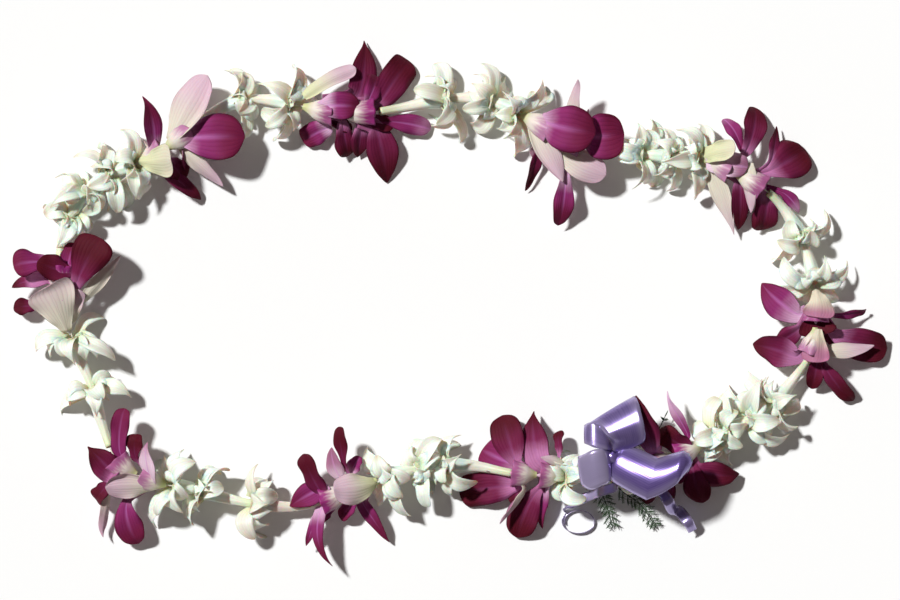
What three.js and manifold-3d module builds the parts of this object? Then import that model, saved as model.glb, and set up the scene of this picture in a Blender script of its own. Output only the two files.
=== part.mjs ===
// A fresh flower lei laid flat: dendrobium orchids and tuberose florets strung face to back
// on one thread, tied with a ribbon bow and three sprigs of plumosus fern.
// Millimetres, +Z up. The surface it lies on is z = 0 and the origin is the middle of its footprint.

import * as THREE from 'three';
import { mergeVertices } from 'three/addons/utils/BufferGeometryUtils.js';
import Module from 'manifold-3d';

const wasm = await Module();
wasm.setup();

// Driving dimensions
const PLAN_SCALE = 0.53;
const PLAN_CENTRE = { x: 450, y: 300 };
const THREAD_RADIUS = 0.4;
const THREAD_SIDES = 5;
const THREAD_STEPS = 78;
const KNOT_RADIUS = 1.5;
const BORE_RADIUS = 1.2;
const GAP = 0.3;
const SLIVER = 0.1;
const SAMPLE_STEPS = 40;
const BLADE_THICKNESS = 1.2;
const LOBE_THICKNESS = 1.3;
const FLOOR_SOFTNESS = 1.4;
const FLOOR_CLEAR = 0.05;
const TUBEROSE_LOBES = 6;
const RIBBON_THICKNESS = 0.9;

// Colours, roughness of petals, thread, ribbon and fern
const ORCHID = { color: 0x8c1a5c, roughness: 0.5, metalness: 0 };
const TUBEROSE = { color: 0xf2f2e0, roughness: 0.45, metalness: 0 };
const COTTON = { color: 0xf4f0e4, roughness: 0.9, metalness: 0 };
const RIBBON = { color: 0x6e55b0, roughness: 0.25, metalness: 0 };
const FERN = { color: 0x2f5a34, roughness: 0.6, metalness: 0 };

const UP = new THREE.Vector3(0, 0, 1);

// A place in the plan drawing, which is seen from above with y running down, as a point in millimetres.
function plan(x, y, z = 0) {
  return new THREE.Vector3((x - PLAN_CENTRE.x) * PLAN_SCALE, (PLAN_CENTRE.y - y) * PLAN_SCALE, z);
}

// The thread's route, clockwise from its knot: plan x, plan y, height in millimetres.
const THREAD_ROUTE = [
  [615, 470, 12], [588, 475, 10], [562, 477, 12], [538, 475, 13], [512, 473, 13], [480, 467, 9],
  [448, 465, 11], [420, 468, 11], [392, 475, 12], [370, 483, 14], [345, 492, 14], [320, 502, 12],
  [290, 507, 8], [255, 504, 10], [225, 498, 9], [195, 489, 11], [168, 485, 13], [140, 476, 14],
  [116, 459, 13], [102, 425, 9], [92, 388, 10], [80, 358, 10], [70, 330, 12], [63, 300, 14],
  [59, 268, 12], [62, 238, 8], [72, 212, 10], [88, 190, 11], [110, 174, 11], [136, 164, 12],
  [160, 152, 15], [184, 135, 14], [210, 114, 9], [240, 101, 10], [268, 100, 10], [296, 105, 12],
  [330, 112, 14], [372, 112, 14], [400, 108, 10], [440, 100, 10], [470, 98, 10], [500, 104, 11],
  [525, 117, 13], [553, 132, 15], [582, 146, 13], [612, 152, 9], [642, 154, 10], [672, 157, 10],
  [702, 159, 12], [733, 172, 14], [765, 190, 13], [785, 210, 9], [800, 235, 9], [810, 262, 9],
  [815, 292, 13], [815, 325, 15], [810, 354, 13], [795, 378, 8], [774, 402, 9], [750, 419, 10],
  [726, 431, 10], [702, 444, 12], [675, 456, 13], [650, 463, 12],
];

// Heights that sink below the surface are eased onto it, as soft petals are.
function settle(point) {
  const level = FLOOR_CLEAR + FLOOR_SOFTNESS;
  if (point.z < level) {
    point.z = FLOOR_CLEAR + FLOOR_SOFTNESS * Math.exp((point.z - level) / FLOOR_SOFTNESS);
  }
  return point;
}

// The thread's line as evenly numbered samples with their distance along it.
function makeLine() {
  const points = THREAD_ROUTE.map(([x, y, z]) => plan(x, y, z));
  const curve = new THREE.CatmullRomCurve3(points, true, 'catmullrom', 0.5);
  const samples = curve.getPoints(points.length * SAMPLE_STEPS);
  const distance = [0];
  for (let i = 1; i < samples.length; i += 1) {
    distance.push(distance[i - 1] + samples[i].distanceTo(samples[i - 1]));
  }
  return { samples, distance, length: distance[distance.length - 1] };
}

const LINE = makeLine();

// The point, direction, level side and upward side of the thread at a distance along it.
function stationAt(s) {
  const wanted = ((s % LINE.length) + LINE.length) % LINE.length;
  let low = 0;
  let high = LINE.distance.length - 1;
  while (high - low > 1) {
    const middle = (low + high) >> 1;
    if (LINE.distance[middle] <= wanted) {
      low = middle;
    } else {
      high = middle;
    }
  }
  const share = (wanted - LINE.distance[low]) / (LINE.distance[high] - LINE.distance[low]);
  const point = LINE.samples[low].clone().lerp(LINE.samples[high], share);
  const along = LINE.samples[high].clone().sub(LINE.samples[low]).normalize();
  const side = UP.clone().cross(along).normalize();
  const above = along.clone().cross(side).normalize();
  return { point, along, side, above };
}

// The distance along the thread that lies nearest a plan position.
function distanceNear(x, y) {
  const target = plan(x, y);
  let best = 0;
  let bestGap = Infinity;
  LINE.samples.forEach((sample, i) => {
    const gap = Math.hypot(sample.x - target.x, sample.y - target.y);
    if (gap < bestGap) {
      bestGap = gap;
      best = LINE.distance[i];
    }
  });
  return best;
}

// Repeatable random numbers from a seed.
function makeRandom(seed) {
  let state = seed >>> 0;
  return () => {
    state = (state + 0x6d2b79f5) >>> 0;
    let t = state;
    t = Math.imul(t ^ (t >>> 15), t | 1);
    t ^= t + Math.imul(t ^ (t >>> 7), t | 61);
    return ((t ^ (t >>> 14)) >>> 0) / 4294967296;
  };
}

// A closed geometry from rings of equal count; the ends close on fans or on single tip points.
function stackRings(rings, tip) {
  const position = [];
  const index = [];
  const count = rings[0].length;
  rings.forEach((ring) => ring.forEach((p) => position.push(p.x, p.y, p.z)));
  for (let r = 0; r + 1 < rings.length; r += 1) {
    for (let k = 0; k < count; k += 1) {
      const a = r * count + k;
      const b = r * count + ((k + 1) % count);
      index.push(a, b, b + count, a, b + count, a + count);
    }
  }
  for (let k = 1; k + 1 < count; k += 1) {
    index.push(0, k + 1, k);
  }
  const last = (rings.length - 1) * count;
  if (tip) {
    const top = rings.length * count;
    position.push(tip.x, tip.y, tip.z);
    for (let k = 0; k < count; k += 1) {
      index.push(last + k, last + ((k + 1) % count), top);
    }
  } else {
    for (let k = 1; k + 1 < count; k += 1) {
      index.push(last, last + k, last + k + 1);
    }
  }
  const geometry = new THREE.BufferGeometry();
  geometry.setAttribute('position', new THREE.Float32BufferAttribute(position, 3));
  geometry.setIndex(index);
  return geometry;
}

// A solid for joining and cutting, turned the right way out if its faces point in.
function toSolid(geometry) {
  let plain = geometry.clone();
  plain.deleteAttribute('normal');
  plain.deleteAttribute('uv');
  plain = mergeVertices(plain, 1e-4);
  const vertProperties = Float32Array.from(plain.attributes.position.array);
  const triVerts = Uint32Array.from(plain.index.array);
  const solid = new wasm.Manifold(new wasm.Mesh({ numProp: 3, vertProperties, triVerts }));
  if (solid.volume() > 0) {
    return solid;
  }
  for (let i = 0; i < triVerts.length; i += 3) {
    const kept = triVerts[i];
    triVerts[i] = triVerts[i + 1];
    triVerts[i + 1] = kept;
  }
  return new wasm.Manifold(new wasm.Mesh({ numProp: 3, vertProperties, triVerts }));
}

// The largest body of a joined or cut solid, without loose scraps and slivers.
function largestBody(solid) {
  const bodies = solid.simplify(SLIVER).decompose();
  return bodies.reduce((a, b) => (b.volume() > a.volume() ? b : a));
}

function toGeometry(solid) {
  const mesh = solid.getMesh();
  const geometry = new THREE.BufferGeometry();
  geometry.setAttribute('position', new THREE.BufferAttribute(Float32Array.from(mesh.vertProperties), 3));
  geometry.setIndex(new THREE.BufferAttribute(Uint32Array.from(mesh.triVerts), 1));
  return geometry;
}

// A round sheath along the thread; the profile gives [distance from the start, radius] pairs.
function sheath(start, profile, sides) {
  const rings = profile.map(([offset, radius]) => {
    const { point, side, above } = stationAt(start + offset);
    const ring = [];
    for (let k = 0; k < sides; k += 1) {
      const angle = ((k + 0.5) / sides) * Math.PI * 2;
      ring.push(point.clone()
        .addScaledVector(side, Math.cos(angle) * radius)
        .addScaledVector(above, Math.sin(angle) * radius));
    }
    return ring;
  });
  return toSolid(stackRings(rings));
}

// Blade outlines, short of the tip: [share of the length, share of the half width].
const OUTLINES = {
  petal: [[0, 0.17], [0.32, 0.75], [0.62, 1], [0.88, 0.74]],
  sepal: [[0, 0.28], [0.38, 1], [0.76, 0.66]],
  lip: [[0, 0.32], [0.6, 1]],
  lobe: [[0.4, 1], [0.8, 0.76]],
};

// A petal, sepal or lobe: a curved blade from root to tip that is thickest along its midrib.
// face turns its inner side from forward (0) to up (90) or down (-90); bow arches its length
// towards the inner side; cup lifts its edges.
function bladeRows({ kind, root, tip, width, forward, face = 0, bow = 0, cup, thickness }) {
  const direction = tip.clone().sub(root).normalize();
  const turn = THREE.MathUtils.degToRad(face);
  const facing = forward.clone().multiplyScalar(Math.cos(turn)).addScaledVector(UP, Math.sin(turn));
  facing.addScaledVector(direction, -facing.dot(direction)).normalize();
  const across = facing.clone().cross(direction).normalize();
  const line = (v) => settle(root.clone().lerp(tip, v).addScaledVector(facing, bow * 4 * v * (1 - v)));
  const rings = OUTLINES[kind].map(([v, share]) => {
    const middle = line(v);
    const tangent = line(Math.min(v + 0.05, 1)).sub(line(Math.max(v - 0.05, 0))).normalize();
    const normal = tangent.clone().cross(across).normalize();
    const half = (width / 2) * share;
    return [
      settle(middle.clone().addScaledVector(across, -half).addScaledVector(normal, cup * half)),
      middle.clone().addScaledVector(normal, thickness / 2),
      settle(middle.clone().addScaledVector(across, half).addScaledVector(normal, cup * half)),
      middle.clone().addScaledVector(normal, -thickness / 2),
    ];
  });
  return { rings, tip: line(1) };
}

function blade(shape) {
  const { rings, tip } = bladeRows(shape);
  return toSolid(stackRings(rings, tip));
}

const SURFACE = { x: 800, y: 600, depth: 40 };
const BELOW_SURFACE = toSolid(
  new THREE.BoxGeometry(SURFACE.x, SURFACE.y, SURFACE.depth).translate(0, 0, -SURFACE.depth / 2));

// Flattens a solid where it meets the surface.
function rested(solid) {
  return solid.boundingBox().min[2] < 0 ? largestBody(solid.subtract(BELOW_SURFACE)) : solid;
}

// Joins a flower's pieces and opens its mouth and bore.
function flower(pieces, opening) {
  return rested(largestBody(wasm.Manifold.union(pieces).subtract(opening)));
}

// Dendrobium orchids. back and front are plan positions on the thread; each blade gives its kind,
// plan position and height of its tip, width, and how its inner side faces.
const blades = (kind) => (x, y, z, width, face, bow = 0) => ({ kind, x, y, z, width, face, bow });
const petal = blades('petal');
const sepal = blades('sepal');
const lip = blades('lip');

const ORCHIDS = [
  { name: 'orchid_01a', back: [140, 163], front: [163, 150], blades: [
    sepal(146, 98, 24, 12, 60, 2), petal(177, 157, 27, 18, -80, -3), sepal(201, 198, 3, 12, 50, 2),
    petal(182, 176, 8, 13, 70, 1), sepal(146, 141, 3, 9, 30), lip(172, 168, 14, 8, 40)] },
  { name: 'orchid_01b', back: [166, 149], front: [188, 132], blades: [
    petal(207, 76, 18, 19, -70, -3), petal(245, 136, 22, 25, 80, 3), sepal(224, 184, 10, 10, -60, -2),
    sepal(186, 172, 2, 9, 40), lip(212, 152, 7, 9, 50)] },
  { name: 'orchid_02a', back: [303, 108], front: [333, 112], blades: [
    sepal(356, 69, 15, 11, -66, -2), petal(365, 40, 6, 17, 66, 2), petal(359, 107, 24, 15, 80, 3),
    petal(302, 141, 5, 12, 62, 2), sepal(339, 156, 5, 9, 60, 1), lip(352, 130, 8, 8, 40)] },
  { name: 'orchid_02b', back: [337, 112], front: [374, 112], blades: [
    petal(407, 58, 14, 18, 78, 2), sepal(431, 131, 12, 12, 80, 2), sepal(387, 184, 5, 17, 70, 2),
    petal(378, 77, 21, 12, 55, 2), sepal(358, 157, 3, 11, 60, 1), lip(394, 126, 9, 8, 40)] },
  { name: 'orchid_03a', back: [521, 115], front: [550, 130], blades: [
    petal(594, 132, 30, 25, 85, 4), sepal(563, 181, 16, 13, -70, -2), sepal(527, 191, 3, 8, 40, 1),
    sepal(581, 79, 22, 8, -60, -2), petal(538, 158, 5, 12, 50), lip(552, 160, 4, 8, 40)] },
  { name: 'orchid_03b', back: [553, 132], front: [580, 145], blades: [
    petal(624, 132, 22, 25, 85, 4), petal(606, 172, 18, 16, -75, -2), sepal(558, 228, -8, 12, 75, 2),
    sepal(590, 110, 12, 9, 40), lip(597, 166, 6, 8, 40)] },
  { name: 'orchid_04a', back: [704, 160], front: [731, 171], blades: [
    sepal(733, 146, 26, 10, -70, -2), sepal(735, 234, 3, 10, -50, -1), petal(724, 118, 9, 9, 54, 2),
    petal(757, 106, 9, 14, 66, 2), sepal(740, 229, 5, 12, 60, 2), lip(748, 178, 22, 9, 50)] },
  { name: 'orchid_04b', back: [734, 173], front: [762, 188], blades: [
    sepal(751, 212, 15, 9, -40, -1), sepal(777, 126, 8, 9, 52, 2), petal(807, 149, 8, 22, 85, 2),
    petal(762, 233, 4, 15, 65, 2), lip(801, 213, 15, 8, 80, 1)] },
  { name: 'orchid_05a', back: [815, 298], front: [815, 322], blades: [
    petal(761, 284, 20, 15, 60, 2), sepal(868, 310, 14, 7, 30, 1), petal(888, 349, 8, 19, 72, 2),
    sepal(772, 343, 7, 12, 50, 1), lip(817, 332, 30, 17, -70, -2), sepal(842, 352, 3, 9, 40)] },
  { name: 'orchid_05b', back: [815, 327], front: [811, 352], blades: [
    petal(753, 345, 8, 18, 72, 2), sepal(874, 346, 14, 9, -66, -2), sepal(853, 402, -8, 11, 70, 2),
    lip(812, 389, 6, 8, 60, 1), petal(810, 364, 20, 13, -62, -2)] },
  { name: 'orchid_06a', back: [703, 444], front: [676, 456], blades: [
    sepal(665, 392, 18, 7, -40, -1), petal(704, 503, 6, 14, 75, 2), petal(742, 475, 3, 14, 80, -4),
    sepal(663, 431, 20, 11, 40, 1), lip(672, 478, 8, 8, 50)] },
  { name: 'orchid_06b', back: [675, 456], front: [650, 463], blades: [
    petal(643, 404, 20, 14, 65, 2), petal(640, 502, 3, 12, 60, 1), sepal(668, 506, 2, 12, 60, 1),
    sepal(662, 428, 8, 9, 40), lip(640, 480, 6, 8, 40)] },
  { name: 'orchid_07a', back: [561, 476], front: [539, 475], blades: [
    lip(557, 430, 11, 7, 62, 1), petal(533, 411, 11, 15, 71, 2), petal(518, 539, 6, 18, 81, 2),
    sepal(542, 530, 4, 8, 40, 1), sepal(528, 450, 6, 10, 50)] },
  { name: 'orchid_07b', back: [537, 475], front: [513, 473], blades: [
    petal(500, 416, 9, 19, 80, 2), petal(459, 491, 4, 18, 80, -3), sepal(498, 524, 15, 9, 0, -1),
    sepal(515, 440, 8, 9, 40), lip(494, 493, 6, 9, 50)] },
  { name: 'orchid_08a', back: [377, 481], front: [351, 490], blades: [
    sepal(338, 428, 20, 8, 50, 2), petal(334, 487, 29, 18, -80, -3), sepal(389, 543, 3, 9, 40, 1),
    petal(351, 452, 12, 9, 50), petal(330, 449, 17, 9, 40, 1), lip(340, 520, 4, 9, 50)] },
  { name: 'orchid_08b', back: [349, 490], front: [323, 501], blades: [
    petal(302, 456, 20, 14, 60, 2), petal(291, 503, 14, 10, 70, 2), sepal(311, 540, 4, 8, 60, 1),
    sepal(331, 568, 3, 9, 60, 2), lip(318, 520, 8, 8, 50)] },
  { name: 'orchid_09a', back: [166, 485], front: [140, 476], blades: [
    petal(145, 440, 24, 9, 20, 2), petal(135, 435, 22, 12, 60, 2), petal(135, 547, -9, 16, 80, 2),
    sepal(113, 498, 18, 12, -70, -2), lip(128, 490, 7, 8, 40)] },
  { name: 'orchid_09b', back: [137, 474], front: [117, 460], blades: [
    petal(121, 408, 19, 12, 70, 1), petal(86, 450, 16, 15, 60, 2), petal(97, 499, 8, 13, 60, 1),
    sepal(99, 536, 3, 6, -30, -1), lip(104, 452, 7, 7, 40)] },
  { name: 'orchid_10a', back: [69, 325], front: [64, 300], blades: [
    petal(26, 290, 28, 24, -65, -3), sepal(15, 309, 4, 11, 60, 1), sepal(120, 256, 8, 8, -20, -1),
    petal(88, 292, 3, 12, 40), lip(44, 294, 6, 9, 40)] },
  { name: 'orchid_10b', back: [63, 298], front: [59, 268], blades: [
    petal(99, 240, 24, 25, 76, 3), petal(19, 257, 22, 16, 60, 2), sepal(12, 288, 13, 13, 35, 2),
    sepal(84, 272, 3, 9, 40), lip(74, 243, 13, 9, 30)] },
];

// Orchid column and throat: radii, and shares of its length at which the petals sit and the
// throat begins.
const ORCHID_NECK = 2.3;
const ORCHID_WAIST = 4.1;
const ORCHID_RIM = 4.7;
const ORCHID_SIDES = 6;
const ROOT_RADIUS = 3.2;
const SEAT_SHARE = 0.5;
const THROAT_SHARE = 0.62;
const THROAT_RADIUS = 2.9;
const THROAT_FLARE = 2;
const MOUTH_RADIUS = 3.2;
const MOUTH_REACH = 8;
const PETAL_CUP = 0.16;
const LIP_CUP = 0.5;

function orchid({ back, front, blades: list }) {
  const start = distanceNear(...back);
  const length = distanceNear(...front) - start;
  const seat = stationAt(start + length * SEAT_SHARE);
  const pieces = [sheath(start, [
    [0, ORCHID_NECK], [length * SEAT_SHARE, ORCHID_WAIST], [length, ORCHID_RIM],
  ], ORCHID_SIDES)];
  list.forEach(({ kind, x, y, z, width, face, bow }) => {
    const tip = plan(x, y, z);
    const radial = tip.clone().sub(seat.point);
    radial.addScaledVector(seat.along, -radial.dot(seat.along)).normalize();
    const root = seat.point.clone().addScaledVector(radial, ROOT_RADIUS);
    pieces.push(blade({
      kind, root, tip, width, face, bow, forward: seat.along, thickness: BLADE_THICKNESS,
      cup: kind === 'lip' ? LIP_CUP : PETAL_CUP,
    }));
  });
  const throat = length * THROAT_SHARE;
  const opening = sheath(start, [
    [-THROAT_FLARE, BORE_RADIUS], [throat, BORE_RADIUS], [throat + THROAT_FLARE, THROAT_RADIUS],
    [length + MOUTH_REACH, MOUTH_RADIUS],
  ], ORCHID_SIDES);
  return flower(pieces, opening);
}

// Tuberose florets: plan positions of the narrow end and the mouth, mean reach of the lobes from
// the thread, and how far the lobes curl back.
const TUBEROSES = [
  { from: [109, 447], to: [93, 388], reach: 17, curl: 2 },
  { from: [95, 398], to: [71, 337], reach: 18, curl: 3 },
  { from: [58, 258], to: [70, 214], reach: 12, curl: 4 },
  { from: [66, 226], to: [86, 191], reach: 15, curl: 2 },
  { from: [80, 198], to: [110, 173], reach: 17, curl: 0 },
  { from: [102, 178], to: [136, 164], reach: 16, curl: 1 },
  { from: [193, 128], to: [243, 100], reach: 17, curl: -1 },
  { from: [236, 102], to: [292, 104], reach: 16, curl: 1 },
  { from: [380, 112], to: [446, 99], reach: 18, curl: 0 },
  { from: [438, 100], to: [492, 102], reach: 16, curl: 3 },
  { from: [484, 100], to: [517, 113], reach: 20, curl: -3 },
  { from: [588, 148], to: [643, 154], reach: 18, curl: -1 },
  { from: [636, 154], to: [673, 157], reach: 14, curl: 3 },
  { from: [666, 157], to: [700, 159], reach: 16, curl: 1 },
  { from: [768, 192], to: [801, 238], reach: 14, curl: 0 },
  { from: [796, 226], to: [813, 284], reach: 16, curl: 1 },
  { from: [808, 360], to: [772, 404], reach: 17, curl: 1 },
  { from: [779, 398], to: [750, 419], reach: 16, curl: 2 },
  { from: [757, 415], to: [726, 431], reach: 15, curl: 1 },
  { from: [737, 425], to: [713, 437], reach: 15, curl: 1 },
  { from: [651, 463], to: [624, 469], reach: 12, curl: 1 },
  { from: [600, 473], to: [564, 477], reach: 15, curl: -2 },
  { from: [512, 473], to: [446, 465], reach: 17, curl: 0 },
  { from: [453, 465], to: [419, 468], reach: 16, curl: 1 },
  { from: [426, 468], to: [388, 476], reach: 17, curl: -1 },
  { from: [322, 501], to: [252, 504], reach: 17, curl: 2 },
  { from: [259, 504], to: [200, 490], reach: 16, curl: 0 },
  { from: [207, 492], to: [172, 486], reach: 18, curl: 0 },
];

// Tuberose tube: radius of its narrow end, what each ring adds to it, and how long the mouth is.
const TUBE_NECK = 2.15;
const MOUTH_LENGTH = 11;
const FLARE_LENGTH = 4;
const NECK_SHARE = 0.3;
const OUTSIDE_SWELL = { neck: 0.3, shoulder: 1.4, flare: 2.4, corner: 2.8, back: 3.5 };
const INSIDE_SWELL = { shoulder: 0.65, flare: 1.5, front: 2.4 };
const RIM_SETBACK = { corner: 0.8, back: 0.9, front: 0.2 };

// Tuberose lobes: sizes in millimetres, turns in degrees, spreads as whole ranges
const LOBE_ROOT = TUBE_NECK + 3;
const LOBE_WIDTH = 7.8;
const LOBE_WIDTH_SPREAD = 1.4;
const LOBE_TURN_SPREAD = 0.25;
const LOBE_TURN = 20;
const LOBE_TWIST = 55;
const LOBE_SWAY = 15;
const LOBE_REACH = { least: 0.9, spread: 0.36 };
const LOBE_BOW = 2.4;
const LOBE_CUP = 0.3;
const CLEAR_STEP = 0.1;
const LEAST_LOBE = 0.4;

// Shortens a lobe until it stands clear of the blooms beside it.
function clearLobe(shape, neighbours) {
  const grown = { ...shape, width: shape.width + GAP * 2, thickness: shape.thickness + GAP * 2 };
  const tipAt = (share) => shape.root.clone().lerp(shape.tip, share);
  for (let share = 1; share > LEAST_LOBE; share -= CLEAR_STEP) {
    const reached = blade({ ...grown, kind: 'lip', tip: tipAt(share + GAP * CLEAR_STEP) });
    if (neighbours.every((other) => reached.intersect(other).isEmpty())) {
      return { ...shape, tip: tipAt(share) };
    }
  }
  return { ...shape, tip: tipAt(LEAST_LOBE) };
}

// A tuberose floret is one skin: the tube outside, six lobes that turn out at its mouth, and the
// throat and bore inside.
function tuberose({ from, to, reach, curl }, number, neighbours) {
  const random = makeRandom(100 + number);
  const start = distanceNear(...from);
  const length = distanceNear(...to) - start;
  const mouth = Math.min(MOUTH_LENGTH, length / 2);
  const phase = random() * Math.PI * 2;
  const turn = (Math.PI * 2) / TUBEROSE_LOBES;
  const position = [];
  const index = [];
  const add = (point) => {
    position.push(point.x, point.y, point.z);
    return position.length / 3 - 1;
  };
  const spot = (offset, radius, angle) => {
    const { point, side, above } = stationAt(start + offset);
    return point.clone()
      .addScaledVector(side, Math.cos(angle) * radius)
      .addScaledVector(above, Math.sin(angle) * radius);
  };
  const ring = (offset, radius, shift = 0) => (
    Array.from({ length: TUBEROSE_LOBES }, (_, k) => add(spot(offset, radius, phase + (k + shift) * turn)))
  );
  const face = (a, b, c, inward) => (inward ? index.push(a, c, b) : index.push(a, b, c));
  const wall = (rings, inward) => {
    for (let r = 0; r + 1 < rings.length; r += 1) {
      for (let k = 0; k < TUBEROSE_LOBES; k += 1) {
        const n = (k + 1) % TUBEROSE_LOBES;
        face(rings[r][k], rings[r][n], rings[r + 1][n], inward);
        face(rings[r][k], rings[r + 1][n], rings[r + 1][k], inward);
      }
    }
  };
  const outside = [
    ring(0, TUBE_NECK), ring(length * NECK_SHARE, TUBE_NECK + OUTSIDE_SWELL.neck),
    ring(length - mouth - 1, TUBE_NECK + OUTSIDE_SWELL.shoulder),
    ring(length - FLARE_LENGTH, TUBE_NECK + OUTSIDE_SWELL.flare),
  ];
  const inside = [
    ring(0, BORE_RADIUS), ring(length * NECK_SHARE, BORE_RADIUS),
    ring(length - mouth - 1.5, BORE_RADIUS),
    ring(length - mouth, TUBE_NECK + INSIDE_SWELL.shoulder),
    ring(length - FLARE_LENGTH, TUBE_NECK + INSIDE_SWELL.flare),
  ];
  wall(outside, false);
  wall(inside, true);
  for (let k = 0; k < TUBEROSE_LOBES; k += 1) {
    const n = (k + 1) % TUBEROSE_LOBES;
    face(outside[0][k], inside[0][k], inside[0][n], false);
    face(outside[0][k], inside[0][n], outside[0][n], false);
  }
  const corners = ring(length - RIM_SETBACK.corner, TUBE_NECK + OUTSIDE_SWELL.corner);
  const backs = ring(length - RIM_SETBACK.back, TUBE_NECK + OUTSIDE_SWELL.back, 0.5);
  const fronts = ring(length - RIM_SETBACK.front, TUBE_NECK + INSIDE_SWELL.front, 0.5);
  const rim = stationAt(start + length);
  for (let k = 0; k < TUBEROSE_LOBES; k += 1) {
    const n = (k + 1) % TUBEROSE_LOBES;
    [[outside[3], backs, false], [inside[4], fronts, true]].forEach(([below, middles, inward]) => {
      face(below[k], below[n], middles[k], inward);
      face(below[k], middles[k], corners[k], inward);
      face(below[n], corners[n], middles[k], inward);
    });
    const angle = phase + (k + 0.5 + (random() - 0.5) * LOBE_TURN_SPREAD) * turn;
    const outward = rim.side.clone().multiplyScalar(Math.cos(angle))
      .addScaledVector(rim.above, Math.sin(angle));
    const rows = bladeRows(clearLobe({
      kind: 'lobe',
      root: rim.point.clone().addScaledVector(outward, LOBE_ROOT),
      tip: rim.point.clone()
        .addScaledVector(outward, reach * (LOBE_REACH.least + random() * LOBE_REACH.spread))
        .addScaledVector(rim.along, 1 - curl + (random() - 0.5) * LOBE_SWAY),
      width: LOBE_WIDTH + (random() - 0.5) * LOBE_WIDTH_SPREAD,
      forward: rim.along,
      face: LOBE_TURN + random() * LOBE_TWIST,
      bow: LOBE_BOW,
      cup: LOBE_CUP,
      thickness: LOBE_THICKNESS,
    }, neighbours));
    let last = [corners[k], fronts[k], corners[n], backs[k]];
    rows.rings.forEach((points) => {
      const next = points.map(add);
      [[0, 3, false], [3, 2, false], [0, 1, true], [1, 2, true]].forEach(([a, b, inward]) => {
        face(last[a], last[b], next[b], inward);
        face(last[a], next[b], next[a], inward);
      });
      last = next;
    });
    const end = add(rows.tip);
    [[0, 3, false], [3, 2, false], [0, 1, true], [1, 2, true]].forEach(([a, b, inward]) => {
      face(last[a], last[b], end, inward);
    });
  }
  const geometry = new THREE.BufferGeometry();
  geometry.setAttribute('position', new THREE.Float32BufferAttribute(position, 3));
  geometry.setIndex(index);
  return rested(toSolid(geometry));
}

// The thread: one loop whose ends meet in a small knot.
function thread() {
  const end = LINE.length - THREAD_RADIUS * 2;
  const rings = Array.from({ length: THREAD_STEPS + 1 }, (_, i) => {
    const { point, side, above } = stationAt(THREAD_RADIUS + (end * i) / THREAD_STEPS);
    return Array.from({ length: THREAD_SIDES }, (__, k) => {
      const angle = (k / THREAD_SIDES) * Math.PI * 2;
      return point.clone()
        .addScaledVector(side, Math.cos(angle) * THREAD_RADIUS)
        .addScaledVector(above, Math.sin(angle) * THREAD_RADIUS);
    });
  });
  const knot = new THREE.SphereGeometry(KNOT_RADIUS, 6, 4);
  knot.translate(...stationAt(0).point.toArray());
  return toSolid(stackRings(rings)).add(toSolid(knot));
}

// A ribbon strip through [plan x, plan y, height, edge direction as level angle, edge lift angle,
// width] stations. crown raises its middle, so that its cross-section is arched.
function ribbonStrip(stations, crown) {
  const points = stations.map(([x, y, z]) => plan(x, y, z));
  const rings = stations.map(([, , , level, lift, width], i) => {
    const before = points[Math.max(i - 1, 0)];
    const after = points[Math.min(i + 1, points.length - 1)];
    const tangent = after.clone().sub(before).normalize();
    const bearing = THREE.MathUtils.degToRad(level);
    const slope = THREE.MathUtils.degToRad(lift);
    const edge = new THREE.Vector3(
      Math.cos(bearing) * Math.cos(slope), Math.sin(bearing) * Math.cos(slope), Math.sin(slope));
    edge.addScaledVector(tangent, -edge.dot(tangent)).normalize();
    const normal = tangent.clone().cross(edge).normalize();
    const corner = (across, raised) => points[i].clone()
      .addScaledVector(edge, (across * width) / 2)
      .addScaledVector(normal, raised);
    const half = RIBBON_THICKNESS / 2;
    const section = [corner(-1, -half), corner(1, -half), corner(1, half), corner(-1, half)];
    if (crown) {
      section.splice(3, 0, corner(0, half + crown));
      section.splice(1, 0, corner(0, crown - half));
    }
    return section;
  });
  return toSolid(stackRings(rings));
}

const BOW_LOOPS = [
  [[614, 457, 28.1, 60, 0, 4.4], [616, 459, 33.4, 60, 0, 17], [628, 466, 36, 62, 0, 20],
    [650, 477, 35, 76, 0, 21], [670, 470, 34, 88, 0, 20], [685, 461, 31, 99, 6, 17],
    [686, 461, 26, 99, 6, 16], [668, 470, 24, 90, 0, 16], [645, 474, 24, 84, 0, 14],
    [614, 457, 24.3, 60, 0, 4.2]],
  [[613, 454, 28.4, 25, 0, 4.6], [619, 447, 33, 24, 0, 15], [621, 434, 38, 30, 0, 20],
    [620, 419, 39.6, 32, 0, 22], [619, 406, 37, 26, 0, 20], [618, 399, 31, 18, 0, 17],
    [618, 401, 26.5, 18, 0, 16], [617, 434, 25, 25, 0, 15], [613, 454, 25.1, 25, 0, 4.1]],
  [[610, 455, 27.8, 50, 0, 4.3], [603, 445, 34.6, 52, 0, 15], [594, 434, 35.5, 50, 0, 18],
    [586, 429, 31, 48, 0, 15], [594, 440, 24.6, 50, 0, 14], [610, 455, 24.8, 50, 0, 3.9]],
  [[609, 459, 28.3, 85, 0, 4.7], [602, 461, 34.6, 80, 0, 18], [590, 461, 36.2, 85, 0, 21],
    [580, 459, 31.5, 88, 0, 19], [580, 459, 26.5, 88, 0, 17], [592, 462, 24, 85, 0, 14],
    [609, 459, 24.4, 85, 0, 4]],
];
const BOW_CROWN = 1.8;
const BOW_KNOT = [613, 457, 26.5];
const BOW_KNOT_RADIUS = 5.4;
const COLLAR = { start: 3, end: 6.4, radius: 3.2 };
const TIE_STRAP = [
  [606, 471, 13, 0, 0, 4], [608, 465, 19.6, 0, 0, 5], [612.5, 458.2, 25.3, 0, 0, 5.2],
];
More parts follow.
